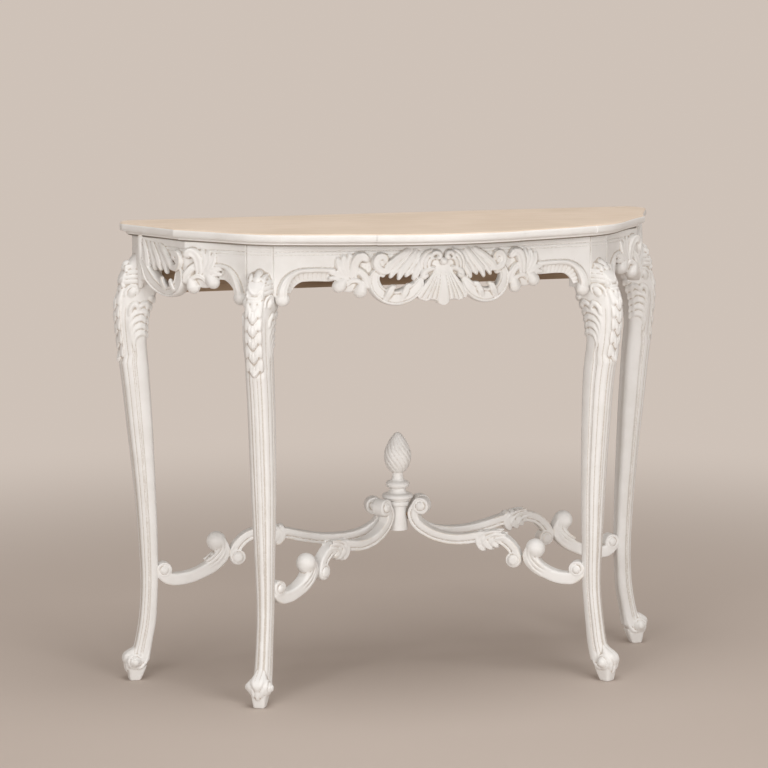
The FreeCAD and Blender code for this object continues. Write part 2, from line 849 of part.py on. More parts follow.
def arm(kind, other_side, hub):
    """An S scroll arm from the hub to its end roll."""
    start, along, run = arm_plane(kind)
    stretch = run - arm_seat
    line = [(arm_seat + share * stretch, arm_height(lift)) for share, lift in kind.shares]
    width = arm_width + roll_extra_width
    hub_roll_height = hub_bottom_height + hub_roll_rise
    leaf_run_share, leaf_rise_share = kind.leaf_shares
    shapes = [strap(start, along, line, arm_thickness, arm_width)]
    shapes.append(roll(start, along, arm_seat + hub_roll_reach, hub_roll_height, hub_roll_radius, width))
    shapes.append(roll(start, along, run, arm_height(kind.roll_share), arm_roll_radius, width))
    leaf_run = arm_seat + leaf_run_share * stretch
    leaf_spot = in_plane(start, along, leaf_run, arm_height(leaf_rise_share))
    shapes.append(carved_oval(leaf_spot, along, arm_leaf_half_run, arm_leaf_half_height,
                              arm_leaf_width / 2, arm_leaf_width / 2))
    return carve(joined(shapes), [mitre_side(other_side), hub])


def foot_plane(kind):
    """Start point, direction and run of a foot scroll, from the arm's roll to the leg's axis."""
    start = plan(kind.x, kind.forward)
    end = plan(kind.leg.x, kind.leg.forward)
    return start, (end - start).normalize(), start.distanceToPoint(end)


def arm_height(share):
    """The height at a share of the arms' rise."""
    return scroll_low_height + share * arm_rise


def foot_scroll(kind, arm_shape, leg):
    """A C scroll from the arm's end to the leg."""
    start, along, run = foot_plane(kind)
    leg_run = run - leg_roll_gap - leg_roll_radius
    span = leg_run - foot_ball_run
    low = scroll_low_height + foot_strap_thickness / 2
    ball_height = arm_height(kind.ball_share)
    rise = ball_height - low
    line = [(foot_ball_run + share * span, low + lift * rise) for share, lift in foot_scroll_shares]
    width = foot_strap_width + roll_extra_width
    shapes = [strap(start, along, line, foot_strap_thickness, foot_strap_width)]
    shapes.append(roll(start, along, foot_ball_run, ball_height, foot_ball_radius, width))
    shapes.append(roll(start, along, leg_run, leg_roll_height, leg_roll_radius, width))
    return carve(joined(shapes), [arm_shape, leg])


def hub_dowel(kind, room):
    """A dowel from the hub into an arm."""
    start, along, run = arm_plane(kind)
    base = in_plane(start, along, hub_dowel_start, hub_bottom_height + kind.dowel_rise)
    return rod(dowel_radius + room, base, along, dowel_length + room)


def arm_dowel(kind, room):
    """A dowel from an arm's end roll into the foot scroll."""
    start, along, run = foot_plane(kind)
    base = in_plane(start, along, arm_dowel_start, arm_height(kind.roll_share) + arm_dowel_lift)
    return rod(dowel_radius + room, base, along, dowel_length + room)


def leg_dowel(kind, room):
    """A dowel from a foot scroll into the leg."""
    start, along, run = foot_plane(kind)
    base = in_plane(start, along, run - leg_roll_gap - leg_roll_radius, leg_roll_height)
    return rod(dowel_radius + room, base, along, dowel_length + room)


def stretcher_hub():
    """The turned block that the arms meet, before its holes are cut."""
    place = plan(0, hub_depth, hub_bottom_height)
    return Part.makeCone(hub_bottom_radius, hub_top_radius, hub_height, place, up)


def spigot(room):
    """The finial's spigot in the hub."""
    top = plan(0, hub_depth, hub_top_height)
    return rod(spigot_radius + room, top, -up, spigot_length + room)


def finial():
    """The turned finial: collar, rings, neck and flame, with its spigot."""
    def at(share, radius):
        return Vector(radius, 0, share * finial_height)

    foot = at(0, finial_collar_radius)
    ring_low = at(ring_low_share, finial_collar_radius)
    ring_high = at(ring_high_share, finial_collar_radius)
    edges = [Part.makeLine(at(0, 0), foot), Part.makeLine(foot, ring_low)]
    edges.append(arc(ring_low, at(ring_share, finial_ring_radius), ring_high))
    waist = at(waist_share, finial_waist_radius)
    bead_low = at(bead_low_share, finial_waist_radius)
    bead_high = at(bead_high_share, finial_waist_radius)
    edges.append(Part.makeLine(ring_high, waist))
    edges.append(Part.makeLine(waist, bead_low))
    edges.append(arc(bead_low, at(bead_share, finial_bead_radius), bead_high))
    neck_low = at(neck_low_share, finial_neck_radius)
    neck_high = at(neck_high_share, finial_neck_radius)
    edges.append(Part.makeLine(bead_high, neck_low))
    edges.append(Part.makeLine(neck_low, neck_high))
    flame = [at(share, wide * flame_radius) for share, wide in flame_shares]
    tip = at(1, 0)
    edges.append(Part.makeLine(neck_high, flame[0]))
    edges.append(curve(flame + [tip]))
    edges.append(Part.makeLine(tip, at(0, 0)))
    body = turned(edges, plan(0, hub_depth, hub_top_height))
    return joined([body, spigot(0)])


# Assembly

def right_pieces():
    """The pieces on the right of the table, by their names without a side."""
    front_leg = leg_blank(front_kind)
    rear_leg = leg_blank(rear_kind)
    hub = stretcher_hub()
    front_arm = arm(front_arm_kind, 1, hub)
    rear_arm = arm(rear_arm_kind, -1, hub)
    front_foot = foot_scroll(front_arm_kind, front_arm, front_leg)
    rear_foot = foot_scroll(rear_arm_kind, rear_arm, rear_leg)
    room = joint_clearance
    front_arm_holes = [hub_dowel(front_arm_kind, room), arm_dowel(front_arm_kind, room)]
    rear_arm_holes = [hub_dowel(rear_arm_kind, room), arm_dowel(rear_arm_kind, room)]
    front_foot_holes = [arm_dowel(front_arm_kind, room), leg_dowel(front_arm_kind, room)]
    rear_foot_holes = [arm_dowel(rear_arm_kind, room), leg_dowel(rear_arm_kind, room)]
    front_leg_holes = [screw_hole(*place) for place in front_brace_screws()]
    front_leg_holes += [side_tenon(front_kind, -1, room), side_tenon(front_kind, 1, room)]
    front_leg_holes += [leg_dowel(front_arm_kind, room)]
    rear_leg_holes = [side_tenon(rear_kind, -1, room), rail_tenon(room), leg_dowel(rear_arm_kind, room)]
    return {
        "front_{}_leg": front_leg.cut(front_leg_holes),
        "rear_{}_leg": rear_leg.cut(rear_leg_holes),
        "{}_side_apron": side_apron(front_leg, rear_leg),
        "front_{}_brace": front_brace(),
        "rear_{}_brace": rear_brace(),
        "front_{}_arm": front_arm.cut(front_arm_holes),
        "rear_{}_arm": rear_arm.cut(rear_arm_holes),
        "front_{}_foot_scroll": front_foot.cut(front_foot_holes),
        "rear_{}_foot_scroll": rear_foot.cut(rear_foot_holes),
    }


def both_sides(shapes):
    """A group of separate solids: these shapes and their mirror images."""
    return Part.makeCompound(shapes + [mirrored(shape) for shape in shapes])


def fastener_groups():
    """Screws and dowels, each kind one group of separate solids."""
    arms = (front_arm_kind, rear_arm_kind)
    brace_places = front_brace_screws() + rear_brace_screws()
    return {
        "brace_screws": both_sides([screw(*place) for place in brace_places]),
        "top_screws": both_sides([screw(*place) for place in top_screw_places()]),
        "hub_dowels": both_sides([hub_dowel(kind, 0) for kind in arms]),
        "arm_dowels": both_sides([arm_dowel(kind, 0) for kind in arms]),
        "leg_dowels": both_sides([leg_dowel(kind, 0) for kind in arms]),
    }


def middle_pieces():
    """The pieces on the table's middle line."""
    room = joint_clearance
    apron = front_apron(leg_blank(front_kind))
    top_holes = [screw_hole(*place) for place in top_screw_places()]
    rail_holes = [screw_hole(*place) for place in rear_brace_screws()]
    hub_holes = [hub_dowel(kind, room) for kind in (front_arm_kind, rear_arm_kind)]
    hub_holes += [mirrored(hole) for hole in hub_holes]
    return {
        "top_panel": top_panel().cut(top_holes + [mirrored(hole) for hole in top_holes]),
        "front_apron": apron,
        "front_shell": front_shell(apron),
        "back_rail": back_rail().cut(rail_holes + [mirrored(hole) for hole in rail_holes]),
        "stretcher_hub": stretcher_hub().cut(hub_holes + [spigot(room)]),
        "finial": finial(),
    }


def all_pieces():
    """Every piece of the table by its name."""
    pieces = middle_pieces()
    for name, shape in right_pieces().items():
        pieces[name.format("right")] = shape
        pieces[name.format("left")] = mirrored(shape)
    pieces.update(fastener_groups())
    return pieces


os.makedirs("parts", exist_ok=True)
for name, shape in all_pieces().items():
    shape.exportStep("parts/" + name + ".step")
    print(name, len(shape.Solids), "solids", shape.isValid(), round(shape.Volume))
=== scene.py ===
import json
import math
from collections import namedtuple

import bpy
import numpy as np
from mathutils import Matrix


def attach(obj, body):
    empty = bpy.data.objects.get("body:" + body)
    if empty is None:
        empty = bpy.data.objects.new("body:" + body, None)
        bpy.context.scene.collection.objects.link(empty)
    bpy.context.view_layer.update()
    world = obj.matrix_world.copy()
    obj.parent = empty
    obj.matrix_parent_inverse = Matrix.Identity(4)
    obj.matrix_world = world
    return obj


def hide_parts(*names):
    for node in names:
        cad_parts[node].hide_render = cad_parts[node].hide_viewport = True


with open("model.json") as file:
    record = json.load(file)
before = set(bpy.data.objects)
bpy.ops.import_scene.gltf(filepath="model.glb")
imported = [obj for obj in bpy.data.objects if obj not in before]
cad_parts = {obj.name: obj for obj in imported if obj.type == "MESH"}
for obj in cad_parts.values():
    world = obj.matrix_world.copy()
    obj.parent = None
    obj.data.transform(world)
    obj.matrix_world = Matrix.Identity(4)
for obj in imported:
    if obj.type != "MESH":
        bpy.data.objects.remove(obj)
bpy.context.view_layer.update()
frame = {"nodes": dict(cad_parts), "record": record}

# Lengths below are in millimetres, in the table's frame: x to the right, y to the wall, z up
metre = 0.001
rear_line = 149
table_height = 800
leg_height = 778

# Fineness of the carved meshes
apron_voxel = 1
leg_voxel = 1.2
arm_voxel = 1.1
most_triangles = 140000
carving_step = 1.5
plain_step = 3
carving_sides = 14
strap_sides = 28
fewest_rows = 8
cap_angles = np.radians((85, 60, 30))
least_length = 1e-6
smoothing_rounds = 2
smoothing_share = 0.5
cavity_rounds = 10
ridge_spread = 0.9
ridge_width_share = 0.8
leaf_ridges = 2
leaf_ridge_rise = 1
band_squareness = 3
ball_rows = 15
ball_points = 24
ball_end_share = 0.98
# Scroll ends: a groove winds once from the rim to a raised button
volute_points = 56
volute_shares = (0.03, 0.14, 0.26, 0.36, 0.44, 0.5, 0.56, 0.62, 0.69, 0.76, 0.83, 0.9, 0.96)
button_share = 0.52
wide_button_share = 0.7
button_rise = 2.2
groove_depth = 2.4
groove_width_share = 0.075
drum_round = 0.12
drum_power = 4
drum_edge_share = 0.72
# Strokes with raised rims: the body's thickness, where the rims lie and how wide they are, as shares
hollow_share = 0.85
rim_offset_share = 0.8
rim_width_share = 0.3
# Low scales of leaf: shares of the way in from the edge and of the rise there, and how deep they root
plate_profile_shares = ((0, 0.75), (0.05, 1), (0.3, 0.8), (0.65, 0.4), (1, 0))
plate_root = 4
husk_profile_shares = (
    (0, 0.55), (0.05, 0.92), (0.14, 1), (0.35, 0.96), (0.6, 0.72), (0.85, 0.36), (1, 0.1),
)

# Top
top_width = 974
top_depth = 390
nose_low = 785
nose_radius = 7
nose_rows = 24
nose_squareness = 3
cream_low = 797.4
gap_high = 780.2
gap_setback = 15
# How dark the painted shadow in the gap under the top is
gap_painted_shadow = 1.6
step_high = 781
hollow_rows = 6
step_setback = 12
arc_points = 24
back_points = 40
sharp_turn = math.radians(35)
# How far each stretch is set back at the small breaks: the middle, then toward the back
middle_setback = -0.5
stretch_setbacks = (2.6, 1.5, 1.5, 4, 4)
top_stretch_shares = (
    ((0.263, 0.049), (0.419, 0.1015), (0.575, 0.1705)),
    ((0.575, 0.1705), (0.6622, 0.2357), (0.7315, 0.3286)),
    ((0.7315, 0.3286), (0.805, 0.447), (0.877, 0.549)),
    ((0.877, 0.549), (0.936, 0.718), (1, 0.887)),
    ((1, 0.887), (0.995, 0.956), (0.963, 1)),
)

# Front apron: the plan of its face, and its hem along the board
apron_thickness = 25
apron_middle_depth = 276
apron_corner_x = 128
apron_corner_depth = 258
apron_end_x = 281
apron_end_depth = 237.8
front_hem_rows = (
    (0, 728), (30, 731), (60, 740), (100, 741), (112, 738), (120, 727), (128, 713), (140, 709.5),
    (154, 710), (166, 712), (178, 720), (190, 731), (238, 731), (250, 722), (262, 704), (281, 690),
)
hem_round = 2.5
hem_cut_share = 0.3
board_level_shares = (0.8, 0.6, 0.4, 0.2)
frieze_lines = (760.5, 766)
frieze_line_depth = 1.8
frieze_line_half = 1.5

# Carved strokes: rows of place along the board, height, how far the middle stands off the board's face,
# half width and half thickness
crescent_rows = (
    (38, 717, 0, 6, 8), (43, 708, 0.5, 9, 10), (52, 698.5, 0, 11.5, 11), (64, 691, -1, 12.5, 12),
    (79, 687, -2, 12, 12), (95, 689.5, -3, 11.5, 12), (107.5, 698, -3, 10.5, 12),
    (114, 709.5, -3, 9.5, 11), (115, 720.5, -3, 8.5, 10), (111, 729, -2, 7, 9), (104, 730, -1, 5, 7),
    (100.5, 725, 0, 4, 6),
)
upper_scroll_boss_rows = ((105, 743, 0, 10, 7), (104, 748, 0.5, 11.5, 7.6), (103, 753, 0, 9.5, 7))
upper_scroll_rows = (
    (84, 737, 0, 5, 5.5), (96, 732, 1, 6, 6.5), (107, 735, 1.6, 6.6, 7), (112.5, 743.5, 2, 6.6, 7),
    (111, 753, 2.2, 6.4, 7), (104, 757.5, 2.6, 6, 7), (97.5, 754.5, 3, 5.4, 6.6),
    (97.5, 749, 3.4, 4.6, 6.2),
)
strand_lines = (
    ((58, 767), (70, 759), (82, 749.5), (93, 739), (99.5, 728)),
    ((51, 767), (61, 756), (71.5, 745), (81.5, 734), (88, 722.5)),
    ((44.5, 766), (53, 754), (62, 742.5), (70.5, 731), (75, 719.5)),
    ((38.5, 763), (44.5, 751.5), (51.5, 740.5), (58, 730.5), (62, 724)),
    ((34.5, 755), (37.5, 745), (42, 735.5), (46.5, 727), (50.5, 719.5)),
)
strand_stand = (-1, 1.5, 2.5, 3, 2.5)
strand_alternate = 1.6
strand_ridges = 3
strand_ridge_rise = 0.8
strand_half_widths = (3.4, 5, 6, 6.2, 3.2)
strand_half_thickness = (3, 4, 4.5, 5, 4.5)
crescent_tip_rows = (
    ((99, 683, 1, 4, 6), (94.5, 691, 5, 6.2, 6.5), (90.5, 699, 7, 6.6, 6), (87, 705.5, 7, 5.2, 5),
     (82.5, 707, 6, 3.2, 4)),
    ((73, 684, 2, 4, 6), (68.5, 692.5, 6, 5.8, 6), (64.5, 701, 7, 5.8, 5.5), (61, 708, 6.5, 4.4, 4.5),
     (57, 709.5, 6, 2.8, 4)),
)
# Leaf beside each scroll
curl_ridge_rise = 1.2
leaf_curl_rows = (
    (149.5, 722, 0, 7, 6), (149, 734, 1, 8, 6.4), (147, 746, 1.8, 8.6, 6.8), (141.5, 755, 3, 8.8, 7.2),
    (134, 757, 3.8, 8, 7.4), (129, 752.5, 4, 6.2, 6.5),
)
leaf_finger_rows = (
    ((153, 724, 0, 5.6, 5), (156, 737, 0.6, 6, 5), (156.5, 748, 0.4, 6, 4.8),
     (154.5, 759, -0.6, 4.4, 3.6)),
    ((157, 723, 0, 5.6, 5), (162.5, 735, 0.6, 6, 5), (165.5, 746, 0.4, 6, 4.8),
     (165, 757, -0.6, 4.4, 3.6)),
    ((160, 722, 0, 5.6, 5), (168, 732, 0.6, 6, 5), (173.5, 742.5, 0.4, 5.8, 4.8),
     (175, 753, -0.6, 4.2, 3.6)),
    ((158, 722, 0, 6, 5), (168, 727, 0.4, 6, 5), (178, 730, 0.2, 5, 4.4), (187, 730, -1, 3, 3)),
    ((157, 716.5, 0, 6, 5), (167, 720, 0.4, 6, 5), (177, 722, 0.2, 5, 4.4), (187.5, 721, -1, 3, 3)),
    ((160, 709.5, -1, 3.6, 5), (153.5, 716, 1, 4.2, 6), (144, 717, 1.5, 4.6, 6),
     (135.5, 711, 1.5, 4.6, 6), (130.5, 700, 0, 4, 5)),
    ((146, 736, 0, 6, 6), (136, 729.5, 0.6, 7, 6.5), (128, 719, 0.6, 6.5, 6.5),
     (124.5, 707, 0, 4.5, 5.5)),
)
leaf_body_rows = (
    (163, 750, -2, 14, 4.6), (161, 740, -1.5, 19, 5.4), (158, 729, -1.5, 24, 6),
    (156, 720, -2.5, 24, 6.5),
)
leaf_drop_rows = (
    ((160, 721, -1, 6, 6), (167, 715, 0, 9, 8.5), (172.5, 707.5, -1, 11.5, 11)),
    ((133, 719, -1, 6, 6), (134.5, 710, 0, 8, 8.5), (137, 698, -1, 11.3, 11)),
)
# Cove beside each front leg: a hollow fluted band along the hem
front_cove_rows = (
    (178, 724.5, 9.5), (192, 725, 10), (206, 725.5, 10), (222, 725.5, 10), (236, 724, 10),
    (247, 718, 10), (255, 708.5, 9.5), (259, 698, 8),
)
cove_profile_shares = (
    (-1, -0.95), (-0.85, -0.85), (-0.6, -0.78), (-0.3, -0.68), (0, -0.55), (0.3, -0.38), (0.5, -0.22),
    (0.58, -0.05), (0.64, 0.2), (0.74, 0.36), (0.86, 0.36), (0.96, 0.15), (1, -0.2), (1, -1.8),
    (-1, -1.8),
)
cove_depth = 8
cove_flute_pitch = 7.5
cove_flute_depth = 1.3
cove_flute_shares = (0.4, 0.8, 1, 1, 1, 0.9, 0.5) + (0,) * 8
front_cove_ball = (266.5, 687.5, -2, 12.2)
cove_end_ridges = 3
cove_end_ridge_rise = 0.9
cove_end_rows = (
    (180, 735, -0.8, 2.4, 3.2), (202, 736.2, -0.8, 2.6, 3.4), (224, 736, -0.6, 2.8, 3.6),
    (240, 733.5, -0.2, 3.6, 4.2), (251.5, 727.5, 0.4, 5, 5.2), (260, 718.5, 1, 6.8, 6.2),
    (265.5, 707.5, 1.4, 7.8, 7.2), (267.5, 697, 1.2, 8, 8), (267, 690, 0.6, 8, 8),
)
side_cove_end_rows = (
    (-44, 737.5, -0.8, 2.4, 3.2), (-57, 740, -0.8, 2.6, 3.4), (-70, 739, -0.4, 3.2, 3.8),
    (-81, 734, 0.2, 4.6, 4.8), (-90, 724, 0.8, 6.4, 6), (-96.5, 711, 1.4, 7.6, 7),
    (-101, 699, 1.2, 8.4, 8), (-102.5, 691, 0.6, 8.4, 8),
)

# Shell in the middle of the front apron
shell_volute_rows = (
    (22, 750, 3, 3.2, 5), (19, 758, 4.5, 3.8, 5.5), (13.5, 762.5, 6, 4.2, 6), (7.5, 761, 7.5, 4.2, 6),
    (6, 755.5, 8.5, 3.8, 5.5), (10.5, 753, 9, 3.4, 5),
)
shell_wing_rows = (
    ((18, 766, 0.5, 2.6, 4), (27, 763, 2, 3.4, 5), (34, 755, 3, 3.8, 5), (37.5, 745, 3, 3.6, 5),
     (37, 736, 3, 2.6, 4.5)),
    ((17, 759.5, 2.5, 2.6, 4.5), (24, 757.5, 4, 3.2, 5), (29.5, 750.5, 4.8, 3.6, 5),
     (31.5, 742.5, 4.8, 3.4, 5), (30.5, 735, 4.5, 2.6, 4.5)),
    ((16, 752.5, 4, 2.4, 4.5), (21, 751, 5, 3, 5), (24.5, 745.5, 5.8, 3.4, 5), (25, 738.5, 5.5, 2.8, 5)),
)
shell_side_curl_rows = (
    (18, 736, 5, 4, 5), (27, 733.5, 5, 5, 6), (34, 728, 4.5, 5, 6), (33.5, 721.5, 4.5, 5, 6),
    (29, 724, 6, 4, 6),
)
shell_ball = (0, 747.5, 10, 6.5)
shell_back_rows = ((0, 764, -3, 24, 7), (0, 745, -3, 32, 8), (0, 726, -4, 34, 9))
shell_squareness = 2.6
# Fan: share of its height from the top, half width, how far its middle stands off the face
shell_fan_rows = ((0, 9, 4), (0.15, 13, 7), (0.35, 20, 10.5), (0.6, 30, 13), (0.8, 39, 12.5), (1, 47, 10))
shell_fan_high = 744
shell_fan_low = 684
# How much longer the fan is by the share of its half width, from the middle
shell_fan_drop_shares = (
    (0, 0.175), (0.1, 0.165), (0.2, 0.12), (0.26, 0.03), (0.3, 0.02), (0.5, 0), (0.54, 0.03), (0.62, 0.07),
    (0.69, 0), (0.78, 0.02), (0.9, -0.02), (1, -0.14),
)
shell_rib_shares = (0.26, 0.44, 0.63, 0.82)
shell_groove_half_share = 0.035
shell_groove_depth = 2.6
shell_groove_start_share = 0.25
shell_side_fall = 4
shell_fall_power = 2.5
shell_fan_back = -9
shell_fan_count = 121
shell_fan_step = 1.2

# Side aprons: ends and kink of the face's plan
side_front_end = (321.5, -63.9)
side_kink = (408, 12)
side_rear_end = (461.5, 125.5)
side_sweep = 5
side_blend = 9
side_hem_rows = (
    (-115, 690), (-104, 700), (-96, 716), (-84, 736), (-70, 739), (-55, 730), (-30, 719), (-10, 721),
    (2, 728), (14, 740), (40, 744), (70, 742), (92, 732), (106, 715), (116, 698), (126, 690),
)
scroll_turn = 123
side_crescent_rows = (
    (112, 738, 0, 5, 7), (103, 727, 0, 8, 9), (94, 714, -1, 10.5, 11), (80, 702, -2, 10.5, 12),
    (64, 693.5, -3, 9, 12), (49, 690, -3, 8, 12), (35, 691.5, -3, 8.8, 12), (22.5, 698.5, -3, 10.5, 12),
    (15, 708, -3, 11.5, 11), (13.5, 719, -3, 11, 10), (16, 728, -2, 8, 8), (21, 731, -1, 5, 6),
)
side_strand_lines = (
    ((112, 772), (105, 760), (100.5, 748), (98, 736), (96.5, 724)),
    ((102, 772), (94, 760), (88, 748.5), (84, 737), (82, 726)),
    ((92, 770), (83, 760), (75.5, 749.5), (69.5, 738), (65, 727)),
    ((82, 769), (71.5, 759), (62, 748), (55, 735.5), (50.5, 722.5)),
    ((72, 768), (61, 761.5), (51, 752), (42, 741.5), (35.5, 730)),
)
side_tip_rows = (
    ((25, 696, 4, 4.5, 6), (30, 703, 6, 4.5, 5), (35, 711, 6, 3, 4)),
    ((50, 696, 4, 4.5, 6), (55, 704, 6, 4.5, 5), (59, 713, 6, 3, 4)),
)
side_stem_rows = (
    ((121, 777, -1, 5, 4), (117, 752, 0.5, 5.5, 5), (117, 725, 0.5, 5.5, 5), (121, 693, -1, 4, 5)),
    ((112, 762, -1, 4, 4), (109, 745, 0.5, 5, 5), (109, 728, 0.5, 5, 5), (113, 706, -1, 4, 5)),
)
side_leaf_start = 122
side_leaf_lift = 4
side_ball = (-102.5, 688, -1, 12.4)
side_cove_rows = (
    (-48, 726, 11), (-60, 728, 12.5), (-72, 727.5, 13), (-82, 722, 13), (-90, 712, 11.5), (-95, 701, 9),
)

# What the two kinds of apron are carved with
ApronKind = namedtuple("ApronKind", "hem crescent tips strands cove ball cove_end")
front_carving = ApronKind(
    front_hem_rows, crescent_rows, crescent_tip_rows, strand_lines, front_cove_rows, front_cove_ball,
    cove_end_rows)
side_carving = ApronKind(
    side_hem_rows, side_crescent_rows, side_tip_rows, side_strand_lines, side_cove_rows, side_ball,
    side_cove_end_rows)

# Legs: place of the ankle on the right, turn of the knee, block, and how far the shank leans to the block
LegKind = namedtuple("LegKind", "x y turn front back shift profile throw")
knee_reach = 50
knee_half_width = 24
slope_step = 1
block_half_width = 23.3
block_low = 686
block_edge = 1.2
shank_low = 34
shank_high = 747
# Profile rows: share of the leg's height, back and front edges as shares of the knee's reach,
# half width as a share of the knee's
front_profile_shares = (
    (0.045, 0.12, 0.82, 0.66), (0.077, -0.02, 0.62, 0.63), (0.129, -0.14, 0.45, 0.6),
    (0.2, -0.27, 0.31, 0.61), (0.321, -0.32, 0.33, 0.72), (0.45, -0.35, 0.41, 0.87),
    (0.578, -0.36, 0.54, 0.93), (0.7, -0.31, 0.72, 0.96), (0.775, -0.19, 0.95, 0.98),
    (0.825, -0.32, 1.03, 1), (0.868, -0.66, 0.96, 1), (0.902, -0.86, 0.7, 0.96),
    (0.926, -0.86, 0.4, 0.95), (0.944, -0.86, 0.04, 0.94), (0.962, -0.86, -0.12, 0.9),
)
rear_profile_shares = (
    (0.045, 0.04, 0.72, 0.66), (0.077, -0.04, 0.56, 0.63), (0.129, -0.2, 0.39, 0.6),
    (0.2, -0.28, 0.29, 0.61), (0.321, -0.29, 0.34, 0.72), (0.45, -0.22, 0.49, 0.87),
    (0.578, -0.14, 0.7, 0.93), (0.7, -0.03, 0.9, 0.96), (0.775, 0.05, 1.05, 0.98),
    (0.825, -0.01, 1.12, 1), (0.868, -0.28, 1.08, 1), (0.905, -0.48, 0.9, 0.96),
    (0.945, -0.48, 0.56, 0.94), (0.962, -0.48, 0.34, 0.9),
)
front_leg = LegKind(
    x=295.5, y=-76, turn=58, front=3.3, back=-43.5, shift=5, profile=front_profile_shares, throw=33)
rear_leg = LegKind(
    x=444.5, y=rear_line, turn=0, front=17.3, back=-25, shift=0, profile=rear_profile_shares, throw=26)
lean_low_share = 0.2
lean_high_share = 0.77
# Half of the shank's section from the middle of its front band: share of the depth from the back,
# share of the half width
section_shares = (
    (1, 0), (0.994, 0.2), (0.97, 0.42), (0.935, 0.56), (0.88, 0.67), (0.77, 0.82), (0.62, 0.94),
    (0.45, 1), (0.25, 0.97), (0.08, 0.85), (0, 0.66), (0, 0),
)
section_points = 44
# Lines cut along the shank: the pair on the front band, the lines by its edges and the side channel
band_low_share = 0.9
band_line = 3.8
band_line_half = 1.1
band_line_depth = 1.1
edge_line_shares = (0.955, 0.79)
edge_line_half_share = 0.02
channel_low_share = 0.47
channel_high_share = 0.61
channel_edge_share = 0.03
channel_depth = 1.5
lines_low = 40
band_lines_high = 566
channel_high = 604
edge_lines_high = 664
line_fade = 12
# Glazing and painted shade along the cut lines: their half width and strength
glaze_and_shade_line_half = 0.9
line_glaze_and_shade = 0.55
# Dark joint by each edge of the block
joint_low = 722
joint_half = 1.3
joint_glaze = 0.5
# Husks down the knee
husk_tips = (651, 629.5, 608, 584.5, 560.5)
husk_rise = 5.5
husk_low = 560
husk_high = 706
husk_fade = 14
# Right half of a husk's lower edge from its tip: across, up and rise
husk_edge_rows = (
    (0, 0, 5.6), (3.4, 2.4, 5.6), (6.8, 7, 5.2), (9.4, 11.2, 4), (11.6, 8.8, 4.8), (13.8, 10, 4.8),
    (15, 15, 4.2),
)
# Veins of a husk: across, up from its tip, off the band, half width and half thickness
husk_vein_rows = (
    ((0, 2, 4.6, 0.9, 1.6), (0, 9, 4.8, 1.2, 1.8), (0, 18, 3.6, 1, 1.6)),
    ((7.6, 9, 4.2, 0.8, 1.5), (5.6, 14, 4.4, 1, 1.7), (4.4, 20, 3.2, 0.9, 1.5)),
)
husk_shift = (0, 25)
# Right half of the shield's lower edge on the knee's head: across, up and rise
shield_edge_rows = (
    (0, 697, 6.4), (5, 698.5, 6.2), (9.5, 703, 5.6), (12.8, 710, 4.8), (13.8, 717, 3.8),
    (12.4, 722, 2.6),
)
shield_shift = (0, 13)
# Body of the knee's head, and how far the head's carving wraps round the section
head_body_rows = (
    (0, 684, -4, 17, 6), (0, 696, -3, 20, 7), (0, 709, -3, 20.5, 7), (0, 720, -3.5, 17, 6.5),
    (0, 727, -4.5, 11, 5.5),
)
head_wrap_share = 0.45
head_squareness = 3
head_sink = 2.4
# Rest of the cartouche: across, up, off the band, half width and half thickness
cartouche_rows = (
    ((-7, 723, 2.4, 3.4, 3.4), (0, 721.5, 3.6, 4.2, 4), (7, 723, 2.4, 3.4, 3.4)),
    ((0, 683, 1.6, 6, 3.2), (0, 676, 2, 4.6, 3), (0, 671, 1.8, 3, 2.6)),
)
cartouche_side_rows = (
    ((16, 716, 2, 3.4, 3.6), (18.5, 709, 2.2, 4, 4.2), (17.5, 701, 2.4, 4.2, 4.4),
     (14.5, 695, 2.2, 3.6, 3.8)),
    ((0, 691, 2.6, 2.2, 3), (8, 691.3, 2.2, 2.2, 3), (16, 692.5, 0.8, 2, 2.8)),
    ((0, 686, 2.4, 2.2, 3), (8, 686.3, 2, 2.2, 3), (16, 687.5, 0.6, 2, 2.8)),
    ((10.5, 684, 0.8, 4.2, 3), (11, 678, 1.4, 4, 3), (11.5, 672.5, 1.4, 2.8, 2.6)),
)
crown_balls = ((0, 728, 1.6, 7.6), (13, 723.5, 0.8, 6.4), (-13, 723.5, 0.8, 6.4))
# Small holes, painted only as dark spots of shadow: across and up, a husk's from its tip
knee_holes = ((6.6, 726.5), (15.4, 716.5), (13, 689))
husk_hole = (9.2, 10.2)
hole_radius = 1.35
hole_painted_shadow = 0.95
# Leaf on each side of the knee: the edges of its lobes as share of the depth from the back, height and rise
knee_leaf_edges = (
    ((0.02, 606, 2.2), (0.2, 608.5, 2.4), (0.38, 605.5, 2.4), (0.49, 596, 2), (0.53, 582, 1)),
    ((0.02, 618, 2.6), (0.22, 621, 2.8), (0.43, 617.5, 2.8), (0.555, 606, 2.2), (0.6, 590, 1)),
    ((0.02, 630.5, 3), (0.24, 633.5, 3.2), (0.46, 630, 3), (0.6, 617.5, 2.4), (0.645, 600, 1)),
    ((0.02, 643, 3.2), (0.26, 646, 3.4), (0.49, 642.5, 3.2), (0.64, 629.5, 2.6), (0.68, 611, 1)),
)
knee_leaf_shift = (4, 12)
# Lobes of the leaf past the leg's back: heights, then rows of share, rise, off the face, half width
# and half thickness
back_lobe_heights = (668, 655, 643, 631.5, 620, 608.5)
back_lobe_rows = ((0.12, 4, -0.4, 4.4, 3.6), (0.02, 1, 0, 4.6, 3.8), (-0.045, -4, -1, 2.6, 2.8))
